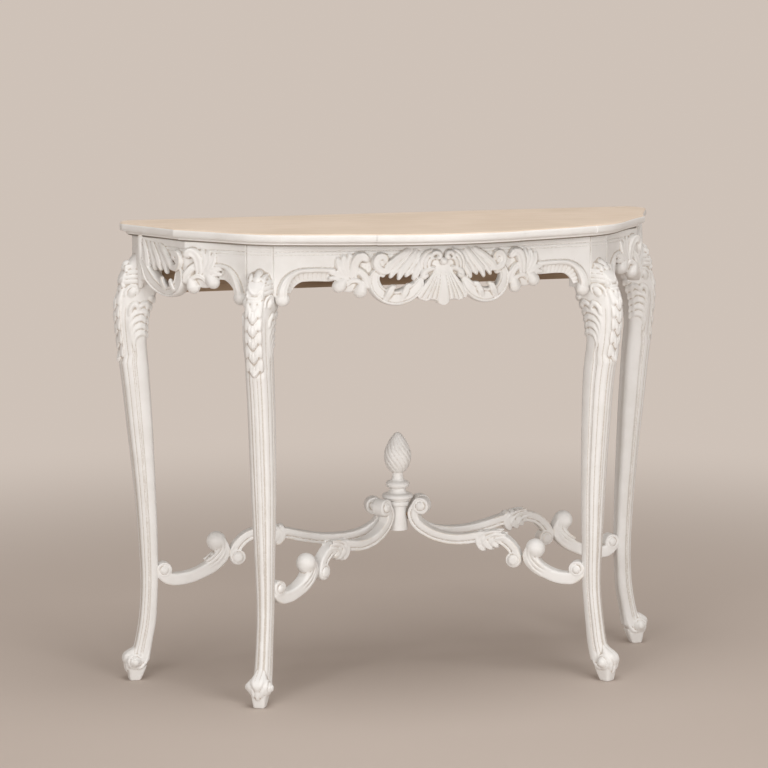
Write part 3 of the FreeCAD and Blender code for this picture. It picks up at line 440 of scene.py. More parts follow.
# The leaf's curled head, its button and the arch above: share, height, off the face, half width
# and half thickness
knee_rib_rows = (
    ((0.66, 645, -0.4, 3.6, 3.2), (0.64, 656, 0.4, 4.4, 3.6), (0.53, 662, 0.8, 4.4, 3.6),
     (0.43, 657, 0.8, 3.4, 3.2)),
    ((0.42, 649, -0.4, 3.6, 3.2), (0.36, 659, 0.4, 4.4, 3.6), (0.22, 662.5, 0.8, 4.4, 3.6),
     (0.09, 656, 0.8, 3.6, 3.2)),
    ((0.7, 687, 0, 6, 4.2), (0.7, 683, 0.6, 6.8, 4.6), (0.7, 679.5, 0, 6, 4.2)),
    ((0.86, 677, -0.8, 2.2, 3), (0.86, 687, -0.2, 2.4, 3.2), (0.79, 693, 0, 2.4, 3.2),
     (0.67, 693.5, 0, 2.4, 3.2), (0.58, 689, -0.2, 2.4, 3.2), (0.56, 680, -0.8, 2.2, 3)),
)
# Ribs between the leaf's head and the crown, all alike
crest_rib_heights = (715.5, 707.5, 699.5)
crest_rib_rows = ((0.6, 2, -1.6, 3.8, 3), (0.78, 1.5, -0.2, 4, 3.4), (0.95, 0, 0, 3.6, 3.2))

# Feet
# Height, middle of the pad out from the foot's, half depth and half width
pad_rows = (
    (0, 0.8, 9.4, 9.4), (1.4, 0.7, 10.4, 10.2), (10, -0.8, 13, 11.8), (20, -2.2, 16, 13.4),
    (25, -2.8, 17, 14), (29, -3.2, 14, 12),
)
pad_squareness = 5
pad_points = 40
foot_roll_spot = (3, 34.5)
# The roll and the disc on each end of it: radius and half width
foot_roll_sizes = ((13.8, 18.4), (9.4, 22.6))
foot_band_rows = (
    (-24, 72, 0, 4, 13.5), (-22.5, 56, 0, 4, 14.5), (-20.5, 44, 0, 4, 15.6), (-16.5, 33, 0, 4, 16.6),
    (-11, 26, 0, 3.8, 17), (-4, 22.4, 0, 3.4, 17),
)
toe_body_rows = ((0, 51, 0, 6, 12.6), (8, 44, 0, 7.4, 14.6), (12, 36, 0, 7, 14.8), (12.4, 27, 0, 5.2, 13))
toe_leaf_rows = (
    ((-9, 61.5, 0, 4.4, 8.6), (1, 52.5, 0, 5.4, 10.4), (9.6, 47.6, 0, 5.6, 11.2), (16, 43.4, 0, 5, 11),
     (18.6, 38.6, 0, 4, 8.6), (19, 34.5, 0, 3, 5)),
    ((15, 37, 0, 4, 4.6), (16.6, 29, 0, 3.2, 4.4), (15.8, 21, 0, 2.8, 3.8), (14.6, 16.5, 0, 2.2, 2.4)),
)
toe_side_rows = (
    (14, 40, 7.6, 3.4, 3), (15.8, 33, 8, 3.2, 3), (15.4, 26, 7.8, 2.8, 2.8), (14.4, 21.5, 7.2, 2.2, 2.2),
)

# Stretcher: hub, arms and foot scrolls
hub_y = 114.5
ArmKind = namedtuple("ArmKind", "x y leg shares roll_height leaf_run leaf_height ball_height")
arm_seat = 25
arm_low = 165
arm_rise = 126
arm_squareness = 7
front_arm_shares = (
    (0.056, 0.985), (0.026, 0.89), (0.05, 0.78), (0.168, 0.64), (0.332, 0.565), (0.479, 0.556),
    (0.615, 0.59), (0.717, 0.62), (0.825, 0.622), (0.92, 0.56), (0.994, 0.45), (1.028, 0.32),
)
rear_arm_shares = (
    (0.042, 0.985), (0.019, 0.89), (0.036, 0.78), (0.113, 0.65), (0.212, 0.579), (0.321, 0.556),
    (0.437, 0.563), (0.551, 0.603), (0.665, 0.659), (0.765, 0.695), (0.858, 0.688), (0.94, 0.63),
    (1, 0.51), (1.033, 0.38),
)
front_arm = ArmKind(
    x=177, y=-5, leg=front_leg, shares=front_arm_shares, roll_height=204, leaf_run=165, leaf_height=232,
    ball_height=225)
rear_arm = ArmKind(
    x=287, y=140.3, leg=rear_leg, shares=rear_arm_shares, roll_height=209.5, leaf_run=223, leaf_height=243,
    ball_height=238.5)
hub_roll_spot = (44, 291)
hub_roll_start_share = 0.2
hub_roll_radius = 15.5
arm_roll_radius = 14
roll_half = 12.6
# Core, upper strap and lower fillet of an arm: off its line, half thickness and half width
arm_strap_rows = ((0, 7, 8.2), (3.3, 6, 10.8), (-6.9, 2.5, 10))
# Leaf draped over each arm's hump: run from the leaf's middle, height from it, off the arm's axis,
# half width and half thickness
arm_leaf_rows = (
    ((-12, 16, 0, 6.4, 10.6), (-14.5, 4, 0, 7, 11.6), (-11, -7, 0, 6.4, 11.4), (-5.5, -12.5, 0, 4.6, 10)),
    ((-1, 17, 0, 6.4, 10.6), (-4.5, 6, 0, 7, 12), (1, -4, 0, 6.4, 11.8), (8, -9.5, 0, 4.6, 10)),
    ((11, 16.5, 0, 6.4, 10.6), (8.5, 7, 0, 7, 11.6), (13, -1, 0, 6, 11.4), (18.5, -5.5, 0, 4.2, 10)),
    ((21, 15, 0, 5.6, 10.6), (20.5, 7.5, 0, 5.8, 11.2), (24.5, 1, 0, 4.2, 10)),
)
arm_leaf_side_rows = (
    ((-14, 5, 9.4, 1.8, 2.2), (-8, 13, 9.8, 2, 2.4), (6, 20, 9.8, 2, 2.4), (26, 22, 9.2, 1.6, 2)),
    ((-6, -2, 10.4, 1.8, 2.2), (0, 8, 10.4, 2, 2.4), (14, 15.5, 10, 2, 2.4), (33, 16.5, 9.2, 1.6, 2)),
    ((9, -2, 10, 1.8, 2.2), (14, 5, 10.2, 2, 2.4), (25, 10, 10, 2, 2.4), (38, 9.5, 9.2, 1.6, 2)),
)

foot_ball_run = 37
foot_ball_radius = 17.4
foot_low = 176
foot_half_thickness = 10.8
foot_half_width = 11.6
leg_roll_height = 193
leg_roll_radius = 14
leg_roll_half = 13
leg_roll_start_share = 0.1
leg_roll_gap = 26.5
# Shares of the run from the ball to the leg roll, of the ball's rise and of the strap's thickness
foot_scroll_shares = (
    (-0.03, 0.98, 1.3), (-0.1, 0.72, 1.32), (0.03, 0.4, 1.16), (0.3, 0.15, 1), (0.65, 0, 1),
    (0.91, 0.02, 0.98), (1.07, 0.2, 0.9),
)
foot_leaf_rows = (
    ((0, 15.2, 3, 1.8, 1.8), (-9.5, 11.5, 5, 2.2, 2), (-14, 2, 7, 2.4, 2), (-15, -8, 9.5, 2.4, 2),
     (-12.5, -18, 11, 2.4, 2), (-3, -33, 11.2, 2.4, 2), (12, -44, 10.6, 1.8, 1.6)),
    ((5, 13, 6.5, 1.8, 1.8), (-3, 11.5, 9.5, 2.2, 2), (-8.5, 3, 12.5, 2.4, 2), (-10, -8, 12, 2.4, 2),
     (-8, -16, 11.3, 2.4, 2), (3, -29.5, 11.3, 2.4, 2), (17, -39, 10.6, 1.8, 1.6)),
    ((9, 8, 9.5, 1.8, 1.8), (3, 5, 14, 2.2, 2), (-2, -2, 14.8, 2.4, 2), (-4, -9, 12.2, 2.4, 2),
     (-1.5, -15, 11.3, 2.4, 2), (8, -25, 11.3, 2.4, 2), (20, -33, 10.6, 1.8, 1.6)),
)
foot_tip_ridges = 1
foot_tip_ridge_rise = 0.8
foot_tip_rows = ((-4, -23, 0, 6, 9), (3, -26, 0, 5, 8.5), (7.5, -23, 0, 3.8, 7))

# Finial: height and radius rows of its turned foot, then the flame
finial_low = 289
turned_rows = (
    (0, 15), (0.4, 19), (2, 20), (6.8, 20), (8, 19.2), (8.6, 17.8), (9.2, 19.8), (10, 21.6), (11.8, 22),
    (12.6, 23), (13.2, 25.4), (14.6, 27), (16.6, 27.6), (18.8, 27), (21, 24.5), (22.2, 19.5), (23.2, 17),
    (26.5, 14.8), (30, 14.2), (32, 15), (33.4, 18.5), (36, 20.6), (38.6, 21), (41.2, 20.2), (43.6, 17.2),
    (44.8, 13.6), (46.5, 11.6), (50.5, 10.2), (56, 9.8), (59.5, 10.4), (60.4, 11.4),
)
flame_rows = (
    (60.4, 11.4), (62.5, 14.8), (67, 18.2), (73, 21.2), (80.5, 23.4), (88, 24.2), (96, 23.4),
    (104, 20.9), (112, 17.3), (119, 13.2), (125, 8.8), (129, 4.8), (131, 0.4),
)
flame_flutes = 14
flame_turn = 2.3
flame_flute_depth_share = 0.065
flame_flute_power = 0.55
# Glazing and painted shade in the flame's grooves
flame_glaze_and_shade = 0.5
flame_start_share = 0.06
flame_end_share = 0.3
finial_points = 108
finial_step = 1.4

# Colours, as light a surface gives back
white_paint_color = (0.86, 0.852, 0.835, 1)
white_paint_shade = (0.82, 0.808, 0.785, 1)
# Grey glazing and painted shade for crevices
glaze_and_shade_color = (0.5, 0.435, 0.365, 1)
# Painted near-black shadow for the deepest gaps and crevices
painted_deep_shadow_color = (0.17, 0.14, 0.11, 1)
rubbed_color = (0.79, 0.72, 0.62, 1)
# Cream of the upper face: partly cream paint, partly a painted reflection of a warm wall
cream_and_wall_reflection_color = (0.74, 0.615, 0.495, 1)
cream_shade = (0.67, 0.55, 0.43, 1)
cream_rub = (0.8, 0.7, 0.6, 1)
wood_light = (0.43, 0.31, 0.205, 1)
wood_dark = (0.27, 0.175, 0.105, 1)
steel_light = (0.52, 0.51, 0.5, 1)
steel_dark = (0.34, 0.33, 0.32, 1)
floor_color = (0.56, 0.485, 0.43, 1)
sky_color = (0.62, 0.54, 0.48, 1)

# Finishes: each noise as scale, detail and stretch, each range as what it spans and what that becomes,
# each bump as strength and height
noise_roughness = 0.55
paint_patches = (26, 4)
paint_specks = (420, 3)
paint_brush = (160, 3, (1, 1, 0.18))
paint_shade_range = (0.38, 0.66)
paint_speck_range = (0.3, 0.7, -0.06, 0.06)
# Cavity range for the grey glazing and painted shade
glaze_and_shade_range = (0.14, 0.62, 0, 0.8)
# Cavity range for the painted deep shadow
painted_deep_shadow_range = (0.8, 1.6, 0, 0.8)
edge_range = (-0.3, -0.75)
rub_range = (0.47, 0.62, 0, 0.65)
paint_roughness_range = (0.3, 0.7, 0.42, 0.56)
paint_brush_bump = (0.12, 0.0006)
paint_speck_bump = (0.06, 0.0004)
cream_patches = (7, 4)
cream_grain = (60, 5, (0.05, 1, 1))
cream_specks = (520, 3)
cream_shade_range = (0.36, 0.68)
cream_rub_range = (0.55, 0.8, 0, 0.35)
cream_speck_range = (0.68, 0.8, 0, 0.3)
cream_roughness_range = (0.3, 0.7, 0.38, 0.52)
cream_grain_bump = (0.1, 0.0006)
cream_speck_bump = (0.05, 0.0003)
wood_grain = (36, 6, (0.06, 1, 1))
wood_fibre = (260, 3, (0.05, 1, 1))
wood_grain_range = (0.32, 0.68)
wood_fibre_range = (0.5, 0.75, 0, 0.4)
wood_roughness_range = (0.3, 0.7, 0.62, 0.8)
wood_bump = (0.2, 0.0006)
steel_marks = (900, 3, (0.2, 0.2, 1))
steel_mark_range = (0.35, 0.65)
steel_roughness_range = (0.3, 0.7, 0.3, 0.45)
steel_bump = (0.1, 0.0002)
floor_patches = (3, 4)
floor_patch_range = (0.2, 0.8, 0, 0.06)
floor_roughness = 0.8

# Floor, lamps and camera in metres, watts and degrees; a lamp has its place, size and power
floor_half = 30
floor_near = 0.8
floor_far = 2.6
lamps = (
    ("key", (-3, -3.6, 1.4), 2, 70),
    ("fill", (1, -4.4, 1.3), 2, 75),
    ("overhead", (0, -0.6, 3.4), 2, 54),
)
light_aim = (0, 0, 0.5)
sky_strength = 0.42
camera_place = (-1.5986, -4.8553, 1.2686)
camera_tilt = 8.318
camera_pan = -17.568
camera_lens = 140.6
camera_sensor = 36


# Curves and forms, in a piece's own flat space: along, up and off its face

def smooth_values(keys, values, at):
    """Values on a smooth curve through rows of values at growing keys."""
    keys = np.asarray(keys, dtype=float)
    values = np.asarray(values, dtype=float)
    gaps = np.diff(keys)
    slopes = np.diff(values, axis=0) / gaps[:, None]
    before = np.concatenate([gaps[:1], gaps])[:, None]
    after = np.concatenate([gaps, gaps[-1:]])[:, None]
    slope_before = np.vstack([slopes[:1], slopes])
    slope_after = np.vstack([slopes, slopes[-1:]])
    tangents = (slope_before * after + slope_after * before) / (before + after)
    spot = np.clip(np.searchsorted(keys, at, side="right") - 1, 0, len(gaps) - 1)
    gap = gaps[spot][:, None]
    share = ((at - keys[spot]) / gaps[spot])[:, None]
    rest = 1 - share
    start = (1 + 2 * share) * rest * rest * values[spot] + share * rest * rest * gap * tangents[spot]
    end = share * share * (3 - 2 * share) * values[spot + 1] - share * share * rest * gap * tangents[spot + 1]
    return start + end


def row_keys(rows):
    """How far along their line rows of places lie."""
    gaps = np.linalg.norm(np.diff(rows, axis=0), axis=1)
    return np.concatenate([[0], np.cumsum(gaps)])


def smooth_rows(rows, step=carving_step):
    """A row about every step along the smooth curve through given rows."""
    rows = np.array(rows, dtype=float)
    keys = row_keys(rows[:, :3])
    count = max(int(keys[-1] / step), fewest_rows)
    return smooth_values(keys, rows, np.linspace(0, keys[-1], count))


def with_round_ends(line):
    """The rows of a stroke with rows that close its two ends roundly."""
    def cap(end, inner):
        direction = end[:3] - inner[:3]
        direction = direction / np.linalg.norm(direction)
        spots = end[:3] + direction * end[3] * np.sin(cap_angles)[:, None]
        return np.column_stack([spots, end[3:] * np.cos(cap_angles)[:, None]])
    return np.vstack([cap(line[0], line[1]), line, cap(line[-1], line[-2])[::-1]])


def ring_angles(count):
    """Angles once round."""
    return np.linspace(0, 2 * math.pi, count, endpoint=False)


def round_ring(count, squareness=2):
    """Points of a unit ring: a circle at squareness 2, squarer above."""
    waves = (np.cos(ring_angles(count)), np.sin(ring_angles(count)))
    return [np.sign(wave) * np.abs(wave) ** (2 / squareness) for wave in waves]


def ring_of(*columns):
    """Points from their columns, some of which are single values."""
    return np.column_stack(np.broadcast_arrays(*columns))


def across_line(line):
    """Unit vectors across a line in its own plane."""
    along = np.gradient(line[:, 0])
    up = np.gradient(line[:, 1])
    length = np.maximum(np.hypot(along, up), least_length)
    return np.column_stack([-up / length, along / length])


def beside(line, offset):
    """A copy of a line, moved across by an offset."""
    copy = line.copy()
    copy[:, :2] += across_line(line) * np.reshape(offset, (-1, 1))
    return copy


def moved(rows, along=0, up=0):
    """Rows moved in their plane."""
    return [(row[0] + along, row[1] + up, *row[2:]) for row in rows]


def flipped(rows, column=0):
    """Rows with one column's sign changed: the other side of the middle, or of the plane for column 2."""
    return [(*row[:column], -row[column], *row[column + 1:]) for row in rows]


def both(many_rows, column=0):
    """Each line of rows, and the same on the other side."""
    return [side for rows in many_rows for side in (rows, flipped(rows, column))]


def whole_edge(half_rows):
    """An edge from its right half."""
    return flipped(half_rows)[:0:-1] + list(half_rows)


def bell(gap, half):
    """1 where a gap is 0, falling off softly past a half width."""
    return np.exp(-(gap / half) ** 2)


class Stock:
    """The closed forms that one piece is carved from, each placed by a function of its own."""

    def __init__(self):
        self.points = []
        self.faces = []
        self.count = 0

    def mesh(self, name):
        """The forms as one mesh, in metres."""
        mesh = bpy.data.meshes.new(name)
        mesh.from_pydata((np.vstack(self.points) * metre).tolist(), [], self.faces)
        mesh.update()
        mesh.shade_smooth()
        return mesh

    def loft(self, rings, place=np.asarray):
        """A closed skin over rings of equal count."""
        rings = np.asarray(rings)
        rows, sides = rings.shape[:2]
        numbers = np.arange(rows * sides).reshape(rows, sides) + self.count
        turned = np.roll(numbers, -1, axis=1)
        quads = np.stack([numbers[:-1], turned[:-1], turned[1:], numbers[1:]], axis=-1).reshape(-1, 4)
        self.faces += quads.tolist() + [numbers[0][::-1].tolist(), numbers[-1].tolist()]
        self.points.append(place(rings.reshape(-1, 3)))
        self.count += rows * sides

    def stroke(self, rows, place, sides=carving_sides, squareness=2):
        """A stroke of carving: a tapered rounded bar along a curve."""
        line = with_round_ends(smooth_rows(rows))
        wide, high = round_ring(sides, squareness)
        plan = line[:, None, :2] + across_line(line)[:, None] * (line[:, 3:4] * wide)[..., None]
        off = line[:, 2:3] + line[:, 4:5] * high
        self.loft(np.concatenate([plan, off[..., None]], axis=-1), place)

    def strokes(self, many_rows, place, **shape):
        """Several strokes alike."""
        for rows in many_rows:
            self.stroke(rows, place, **shape)

    def fluted(self, rows, place, ridges=leaf_ridges, rise=leaf_ridge_rise, faces=(1,)):
        """A broad stroke with ridges along it, on one face or both."""
        self.stroke(rows, place)
        line = smooth_rows(rows)
        for number in range(ridges):
            share = ridge_spread * ((2 * number + 1) / ridges - 1)
            for face in faces:
                ridge = beside(line, line[:, 3] * share)
                ridge[:, 2] += face * (line[:, 4] * math.sqrt(1 - share * share) - rise)
                ridge[:, 3] = line[:, 3] / ridges * ridge_width_share
                ridge[:, 4] = 2 * rise
                self.stroke(ridge, place)

    def hollowed(self, rows, place):
        """A broad stroke with a raised rim along each edge."""
        line = smooth_rows(rows)
        self.stroke(line * np.array((1, 1, 1, 1, hollow_share)), place, squareness=band_squareness)
        for share in (-rim_offset_share, rim_offset_share):
            rim = beside(line, line[:, 3] * share)
            rim[:, 3] *= rim_width_share
            self.stroke(rim, place)

    def ball(self, spot, place):
        """A carved ball."""
        along, up, off, radius = spot
        wide, high = round_ring(ball_points)
        rings = []
        for share in np.linspace(-ball_end_share, ball_end_share, ball_rows):
            girth = radius * math.cos(share * math.pi / 2)
            lift = radius * math.sin(share * math.pi / 2)
            rings.append(ring_of(along + girth * wide, up + lift, off + girth * high))
        self.loft(rings, place)

    def plate(self, rows, shift, place, profile=plate_profile_shares):
        """A low scale of leaf: its edge follows rows of place and rise, and it sinks in along a shift."""
        rings = []
        for along, up, rise in smooth_rows(rows):
            ring = [(along + share * shift[0], up + share * shift[1], rise * lift) for share, lift in profile]
            rings.append(ring + [(along + shift[0], up + shift[1], -plate_root), (along, up, -plate_root)])
        self.loft(rings, place)

    def volute(self, spot, radius, half, place, start=0, button=button_share):
        """A rolled scroll end: a drum whose strip winds once round a raised button on both faces."""
        angles = ring_angles(volute_points)
        spiral = button + (1 - button) * ((angles / (2 * math.pi) + start) % 1)
        face = []
        for share in volute_shares:
            gap = np.minimum(np.abs(share - spiral), abs(share - button))
            cut = groove_depth * bell(gap, groove_width_share)
            dome = button_rise * math.sqrt(max(1 - (share / button) ** 2, 0))
            face.append((share * radius, half * (1 - drum_round * share ** drum_power) - cut + dome))
        edge = half * drum_edge_share
        back = [(wide, -depth) for wide, depth in face[::-1]]
        along, up = spot
        self.loft([ring_of(along + wide * np.cos(angles), up + wide * np.sin(angles), depth)
                   for wide, depth in face + [(radius, edge), (radius, -edge)] + back], place)


# Meshes and their finish

def averaged(values, edges, counts):
    """Each vertex's mean over its neighbours."""
    total = np.zeros_like(values)
    for column, part in enumerate(values.T):
        for near, far in (edges.T, edges.T[::-1]):
            total[:, column] += np.bincount(near, part[far], len(values))
    return total / counts


def read_rows(elements, name, width, kind=float):
    """One property of a mesh's elements, as rows of numbers."""
    values = np.empty(len(elements) * width, dtype=kind)
    elements.foreach_get(name, values)
    return values.reshape(-1, width)


def mesh_arrays(mesh):
    """Vertex places in millimetres, edges and neighbour counts of a mesh."""
    edges = read_rows(mesh.edges, "vertices", 2, np.int64)
    counts = np.bincount(edges.ravel(), minlength=len(mesh.vertices))[:, None]
    return read_rows(mesh.vertices, "co", 3) / metre, edges, np.maximum(counts, 1)


def set_places(mesh, places):
    """Moves a mesh's vertices to places in millimetres."""
    mesh.vertices.foreach_set("co", (places * metre).ravel())
    mesh.update()


def add_cavity(mesh, lines, rounds=cavity_rounds):
    """Stores how deep each vertex lies in a crevice, with the lines cut into the face; the paint darkens with
    it as glazing and painted shade.
    """
    places, edges, counts = mesh_arrays(mesh)
    smooth = places
    for turn in range(rounds):
        smooth = averaged(smooth, edges, counts)
    depth = np.sum((smooth - places) * read_rows(mesh.vertex_normals, "vector", 3), axis=1)
    if lines:
        depth = np.maximum(depth, lines(places))
    mesh.attributes.new("cavity", "FLOAT", "POINT").data.foreach_set("value", depth.astype(np.float32))


def new_object(name, data):
    """A linked object for a mesh, lamp or camera."""
    piece = bpy.data.objects.new(name, data)
    bpy.context.scene.collection.objects.link(piece)
    return piece


def modified(mesh, kind, **settings):
    """What a mesh becomes under one modifier."""
    name = mesh.name
    holder = new_object(name, mesh)
    modifier = holder.modifiers.new(kind, kind)
    for setting, value in settings.items():
        setattr(modifier, setting, value)
    depsgraph = bpy.context.evaluated_depsgraph_get()
    result = bpy.data.meshes.new_from_object(
        holder.evaluated_get(depsgraph), preserve_all_data_layers=True, depsgraph=depsgraph)
    bpy.data.objects.remove(holder)
    bpy.data.meshes.remove(mesh)
    result.name = name
    return result


def fused_mesh(name, stock, voxel):
    """One skin round all the forms of a stock, slightly smoothed."""
    mesh = modified(stock.mesh(name), "REMESH", mode="VOXEL", voxel_size=voxel * metre)
    places, edges, counts = mesh_arrays(mesh)
    for turn in range(smoothing_rounds):
        places += (averaged(places, edges, counts) - places) * smoothing_share
    set_places(mesh, places)
    mesh.shade_smooth()
    return mesh


def dress(piece, node, slot, *finishes):
    """Makes a piece stand for a CAD node, with its materials."""
    for finish in finishes:
        piece.data.materials.append(materials[finish])
    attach(piece, "root")
    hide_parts(node)


def painted(name, node, mesh):
    """A white painted piece."""
    piece = new_object(name, mesh)
    dress(piece, node, "white_paint", "white_paint")
    return piece


def carved_piece(name, node, stock, voxel, lines=None):
    """A carved and painted piece from its stock, thinned if it has too many triangles."""
    mesh = fused_mesh(name, stock, voxel)
    add_cavity(mesh, lines)
    mesh.calc_loop_triangles()
    share = most_triangles / len(mesh.loop_triangles)
    if share < 1:
        mesh = modified(mesh, "DECIMATE", ratio=share)
    return painted(name, node, mesh)


def mirrored_piece(piece, name, node):
    """The same piece on the left of the table."""
    mesh = piece.data.copy()
    mesh.flip_normals()
    set_places(mesh, mesh_arrays(mesh)[0] * np.array((-1, 1, 1)))
    mesh.materials.clear()
    mesh.name = name
    painted(name, node, mesh)


def pair(node, stock, voxel, lines=None):
    """A right piece and its mirrored left one; the node's name takes the side."""
    right, left = node.format("right"), node.format("left")
    piece = carved_piece("carved_" + right, right, stock, voxel, lines)
    mirrored_piece(piece, "carved_" + left, left)


# Materials

class Nodes:
    """Short calls for building the nodes of a material or a world."""

    def __init__(self, holder):
        holder.use_nodes = True
        self.holder = holder
        self.tree = holder.node_tree

    def fill(self, node, inputs):
        """Links a node's inputs, or sets them."""
        for name, value in inputs.items():
            if isinstance(value, bpy.types.NodeSocket):
                self.tree.links.new(value, node.inputs[name])
            else:
                node.inputs[name].default_value = value

    def new(self, kind, inputs=(), **settings):
        """A node with its settings and inputs."""
        node = self.tree.nodes.new(kind)
        for setting, value in settings.items():
            setattr(node, setting, value)
        self.fill(node, dict(inputs))
        return node

    def coordinates(self):
        """Places in the object's own space."""
        return self.new("ShaderNodeTexCoord").outputs["Object"]

    def noise(self, scale, detail, stretch=(1, 1, 1)):
        """Noise in the object's space, stretched along its axes."""
        mapping = self.new("ShaderNodeMapping", {"Vector": self.coordinates(), "Scale": stretch})
        inputs = {"Vector": mapping.outputs["Vector"], "Scale": scale, "Detail": detail}
        return self.new("ShaderNodeTexNoise", {**inputs, "Roughness": noise_roughness}).outputs["Fac"]

    def attribute(self, name):
        """A value that the mesh stores."""
        return self.new("ShaderNodeAttribute", attribute_name=name).outputs["Fac"]

    def range(self, value, low, high, to_low=0, to_high=1):
        """Maps a value's range to another, clamped."""
        inputs = {"Value": value, "From Min": low, "From Max": high, "To Min": to_low, "To Max": to_high}
        return self.new("ShaderNodeMapRange", inputs, interpolation_type="SMOOTHSTEP").outputs["Result"]

    def math(self, operation, first, second):
        """A sum, product or the like of two values."""
        return self.new("ShaderNodeMath", {0: first, 1: second}, operation=operation).outputs["Value"]

    def mix(self, share, first, second):
        """A colour between two others."""
        return self.new("ShaderNodeMix", {"Factor": share, 6: first, 7: second}, data_type="RGBA").outputs[2]

    def bumps(self, *layers):
        """The normal under layers of bumps, each with its height, strength and distance."""
        normal = {}
        for height, (strength, distance) in layers:
            inputs = {"Height": height, "Strength": strength, "Distance": distance, **normal}
            normal = {"Normal": self.new("ShaderNodeBump", inputs).outputs["Normal"]}
        return normal["Normal"]

    def finish(self, color, roughness, normal, metallic=0):
        """The material with its shader filled in."""
        inputs = {"Base Color": color, "Roughness": roughness, "Normal": normal, "Metallic": metallic}
        self.fill(self.tree.nodes["Principled BSDF"], inputs)
        return self.holder

    def seen(self):
        """1 for the rays that show the surround: from the camera, mirrored or through glass."""
        path = self.new("ShaderNodeLightPath").outputs
        share = self.math("MAXIMUM", path["Is Camera Ray"], path["Is Glossy Ray"])
        return self.math("MAXIMUM", share, path["Is Transmission Ray"])


def white_paint(nodes):
    """Aged white paint: grey glazing and painted shade in crevices, painted shadow in the deepest gaps, edges
    rubbed to beige, faint brush marks.
    """
    cavity = nodes.attribute("cavity")
    patches = nodes.noise(*paint_patches)
    specks = nodes.noise(*paint_specks)
    brush = nodes.noise(*paint_brush)
    color = nodes.mix(nodes.range(patches, *paint_shade_range), white_paint_color, white_paint_shade)
    rough_cavity = nodes.math("ADD", cavity, nodes.range(specks, *paint_speck_range))
    # Grey glazing and painted shade where the surface lies in a crevice
    color = nodes.mix(nodes.range(rough_cavity, *glaze_and_shade_range), color, glaze_and_shade_color)
    # Painted near-black shadow in the deepest gaps and crevices
    color = nodes.mix(nodes.range(rough_cavity, *painted_deep_shadow_range), color, painted_deep_shadow_color)
    edge = nodes.range(rough_cavity, *edge_range)
    rubbed = nodes.math("MULTIPLY", edge, nodes.range(patches, *rub_range))
    color = nodes.mix(rubbed, color, rubbed_color)
    normal = nodes.bumps((brush, paint_brush_bump), (specks, paint_speck_bump))
    return nodes.finish(color, nodes.range(brush, *paint_roughness_range), normal)


def cream_top_paint(nodes):
    """Cream paint on the upper face, its beige partly a painted reflection of a warm wall, laid along the
    board and worn pale in places.
    """
    patches = nodes.noise(*cream_patches)
    grain = nodes.noise(*cream_grain)
    specks = nodes.noise(*cream_specks)
    color = nodes.mix(nodes.range(patches, *cream_shade_range), cream_and_wall_reflection_color, cream_shade)
    color = nodes.mix(nodes.range(grain, *cream_rub_range), color, cream_rub)
    color = nodes.mix(nodes.range(specks, *cream_speck_range), color, cream_shade)
    normal = nodes.bumps((grain, cream_grain_bump), (specks, cream_speck_bump))
    return nodes.finish(color, nodes.range(grain, *cream_roughness_range), normal)


def bare_wood(nodes):
    """Unfinished wood with long grain."""
    fibre = nodes.noise(*wood_fibre)
    color = nodes.mix(nodes.range(nodes.noise(*wood_grain), *wood_grain_range), wood_light, wood_dark)
    color = nodes.mix(nodes.range(fibre, *wood_fibre_range), color, wood_dark)
    return nodes.finish(color, nodes.range(fibre, *wood_roughness_range), nodes.bumps((fibre, wood_bump)))


def screw_steel(nodes):
    """Dull steel with turning marks."""
    marks = nodes.noise(*steel_marks)
    color = nodes.mix(nodes.range(marks, *steel_mark_range), steel_light, steel_dark)
    roughness = nodes.range(marks, *steel_roughness_range)
    return nodes.finish(color, roughness, nodes.bumps((marks, steel_bump)), metallic=1)


materials = {make.__name__: make(Nodes(bpy.data.materials.new(make.__name__)))
             for make in (white_paint, cream_top_paint, bare_wood, screw_steel)}


# Top

def arc_through(first, middle, last):
    """Points on the circle through three places."""
    first, middle, last = np.array((first, middle, last), dtype=float)
    sides = np.array([middle - first, last - first])
    halves = np.array([sides[0] @ (middle + first), sides[1] @ (last + first)]) / 2
    center = np.linalg.solve(sides, halves)
    start, turn_middle, turn_last = (math.atan2(*(place - center)[::-1]) for place in (first, middle, last))
    turn_middle = (turn_middle - start) % (2 * math.pi)
    turn_last = (turn_last - start) % (2 * math.pi)
    if turn_last < turn_middle:
        turn_last -= 2 * math.pi
    angles = start + np.linspace(0, turn_last, arc_points)
    return center + np.linalg.norm(first - center) * np.column_stack([np.cos(angles), np.sin(angles)])


def top_outline(inset):
    """The top's outline, drawn in from the front and the ends, with a small break after each stretch."""
    def spot(shares, setback):
        drawn = inset + setback
        return shares[0] * (top_width / 2 - drawn), top_depth / 2 - (1 - shares[1]) * (top_depth - drawn)

    along, depth = spot(top_stretch_shares[0][0], middle_setback)
    middle = arc_through((-along, depth), (0, inset + middle_setback - top_depth / 2), (along, depth))
    right = np.vstack([arc_through(*[spot(shares, setback) for shares in stretch])
                       for stretch, setback in zip(top_stretch_shares, stretch_setbacks)])
    left = right[::-1] * np.array((-1, 1))
    back = np.linspace(right[-1], left[0], back_points, endpoint=False)
    return np.vstack([middle, right, back, left])


